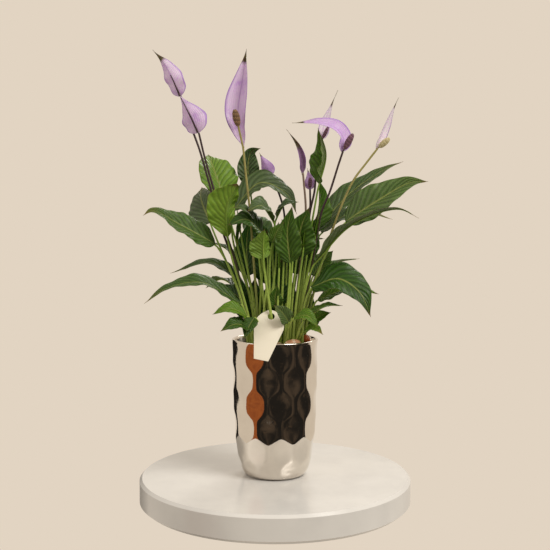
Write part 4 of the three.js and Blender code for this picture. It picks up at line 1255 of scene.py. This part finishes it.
def paper_tag():
    """Cut from its outline with a hole in it, as thick as card, hung on a stalk and leant on the rim."""
    around = [2 * math.pi * k / 40 for k in range(40)]
    ring = [(TAG_HOLE_RADIUS * math.cos(turn), -TAG_HOLE_FROM_TOP - TAG_HOLE_RADIUS * math.sin(turn))
            for turn in around]
    curve = bpy.data.curves.new("gift_tag", "CURVE")
    curve.dimensions = "2D"
    curve.fill_mode = "BOTH"
    curve.extrude = TAG_THICKNESS / 2 - TAG_EDGE
    curve.bevel_depth = TAG_EDGE
    curve.bevel_resolution = 2
    for loop in (tag_outline(), ring):
        spline = curve.splines.new("POLY")
        spline.points.add(len(loop) - 1)
        for point, (x, y) in zip(spline.points, loop):
            point.co = (x, y + TAG_HOLE_FROM_TOP, 0, 1)
        spline.use_cyclic_u = True
    piece = bpy.data.objects.new("gift_tag", curve)
    bpy.context.collection.objects.link(piece)
    only(piece)
    bpy.ops.object.convert(target="MESH")
    piece = bpy.context.object
    bpy.ops.object.mode_set(mode="EDIT")
    bpy.ops.mesh.select_all(action="SELECT")
    bpy.ops.mesh.remove_doubles(threshold=0.000002)
    bpy.ops.mesh.normals_make_consistent(inside=False)
    bpy.ops.object.mode_set(mode="OBJECT")
    run, _ = stalk_run(*TAG_STALK)
    hung = next(point for point in evenly(run, 200) if point.z >= VASE_HEIGHT + TAG_HOLE_ABOVE_RIM)
    rim_front = -RIM_RADIUS * math.cos(math.pi / (2 * CELLS_AROUND)) - CLEARANCE
    lean = math.atan2(hung.y - rim_front, hung.z - VASE_HEIGHT)
    co = points_of(piece)
    co[:, 2] += TAG_THICKNESS / 2
    turn = Matrix.Rotation(math.pi / 2 - lean, 4, "X") @ Matrix.Rotation(rad(TAG_TURN), 4, "Z")
    move_points(piece, np.array([list(turn @ Vector(v) + hung) for v in co]))
    smooth(piece, 30)
    finish_piece(wearing(piece, "card"), "card", "paper_tag")


# ---- stage: a pale round floor, cards that only glossy finishes reflect, lights and the camera ----
FLOOR_RADIUS = 0.205
CARD_REACH = 2.6
CARD_LOW, CARD_HIGH = -80, 24
EYE = (0, -1.4, 0.391)
EYE_LOOKS_DOWN = 3.6
LENS = 60.9


def plain(name, colour, deep, rough=0.6, glow=0.0):
    f = Finish(name, Roughness=rough)
    cloud = f.noise(f.place(), 6, 5)
    tint = f.blend(f.between(cloud, 0.3, 0.75), colour, deep)
    if glow:
        f.put(f.shader.inputs["Emission Color"], tint)
        f.shader.inputs["Emission Strength"].default_value = glow
    return f.wear(Base_Color=tint)


def dark_room():
    """A dark room: nearly black, with dim brown and grey patches."""
    f = Finish("studio dark", Roughness=0.9)
    patch = f.noise(f.place((1, 1, 0.45)), 1.3, 3)
    grain = f.noise(f.place(), 5, 4)
    colour = f.blend(f.between(patch, 0.48, 0.66), shade(18, 16, 14), shade(66, 56, 46))
    colour = f.blend(f.between(grain, 0.6, 0.75, 0, 0.6), colour, shade(96, 78, 60))
    f.put(f.shader.inputs["Emission Color"], colour)
    f.shader.inputs["Emission Strength"].default_value = 0.5
    return f.wear(Base_Color=colour)


def floor():
    profile = [(0.0001, -0.04), (FLOOR_RADIUS - 0.006, -0.04), (FLOOR_RADIUS, -0.035),
               (FLOOR_RADIUS, -0.004), (FLOOR_RADIUS - 0.004, 0), (0.0001, 0)]
    piece = spun("floor", profile, 128)
    smooth(piece, 30)
    piece.data.materials.append(plain("pale floor", shade(234, 233, 230), shade(214, 213, 211), 0.22))


def card_wall(name, start, end, material):
    """A card bent like part of a globe round the object, that only glossy finishes reflect.

    It runs from one turn about the object to another, in degrees, and over the same heights as the rest.
    """
    deselect_all()
    bpy.ops.mesh.primitive_grid_add(x_subdivisions=24, y_subdivisions=24, size=2)
    piece = named(name)
    co = points_of(piece)
    turn = np.radians(start + (end - start) * (co[:, 0] + 1) / 2)
    lift = np.radians(CARD_LOW + (CARD_HIGH - CARD_LOW) * (co[:, 1] + 1) / 2)
    level = CARD_REACH * np.cos(lift)
    bent = [level * np.sin(turn), -level * np.cos(turn), CARD_REACH * np.sin(lift) + 0.15]
    move_points(piece, np.stack(bent, 1))
    piece.data.materials.append(material)
    piece.visible_camera = piece.visible_diffuse = piece.visible_shadow = False
    piece.visible_transmission = False


def lamp(name, spot, size, power, colour, aim=(0, 0, 0.3)):
    data = bpy.data.lights.new(name, "AREA")
    data.shape = "DISK"
    data.size = size
    data.energy = power
    data.color = colour
    light = bpy.data.objects.new(name, data)
    light.location = spot
    light.rotation_euler = (Vector(aim) - Vector(spot)).to_track_quat("-Z", "Y").to_euler()
    bpy.context.collection.objects.link(light)


def warm_room():
    """A pale warm room all round, which lights matt surfaces less than it shows."""
    world = bpy.data.worlds.new("warm room")
    world.use_nodes = True
    tree = world.node_tree
    tree.nodes["Background"].inputs[0].default_value = shade(226, 212, 194)
    rays = tree.nodes.new("ShaderNodeLightPath")
    dimmed = tree.nodes.new("ShaderNodeMapRange")
    tree.links.new(rays.outputs["Is Diffuse Ray"], dimmed.inputs["Value"])
    dimmed.inputs["To Min"].default_value = 1.0
    dimmed.inputs["To Max"].default_value = 0.6
    tree.links.new(dimmed.outputs[0], tree.nodes["Background"].inputs[1])
    bpy.context.scene.world = world
    bpy.context.scene.view_settings.view_transform = "Standard"


def camera():
    view = bpy.data.objects.new("camera", bpy.data.cameras.new("camera"))
    view.location = EYE
    view.rotation_euler = (rad(90 - EYE_LOOKS_DOWN), 0, 0)
    view.data.lens = LENS
    view.data.sensor_width = 36
    bpy.context.collection.objects.link(view)
    bpy.context.scene.camera = view


# ---- put together ----
outer_leaves()
inner_leaves()
shoots()
dry_tip()
flowers()
bpy.data.objects.remove(BLANK)
vase()
grower_pot()
soil_body()
crumbs()
pebbles()
gravel()
paper_tag()
wearing(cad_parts["clay_pebble_bed"], "clay")

floor()
card_wall("studio_dark", -44, 103, dark_room())
card_wall("studio_wood", -74, -44, plain("studio wood", shade(166, 92, 40), shade(140, 72, 30), 0.8, 0.3))
card_wall("studio_edge", -158, -129, plain("studio edge", shade(14, 12, 11), shade(24, 20, 18), 0.9))
warm_room()
lamp("key", (1.4, -1.2, 2.0), 1.3, 44, (1.0, 0.96, 0.9))
lamp("fill", (-1.8, -0.9, 1.3), 1.4, 8, (1.0, 0.97, 0.94))
lamp("back", (0.5, 1.6, 1.5), 0.9, 10, (1.0, 0.97, 0.93))
camera()
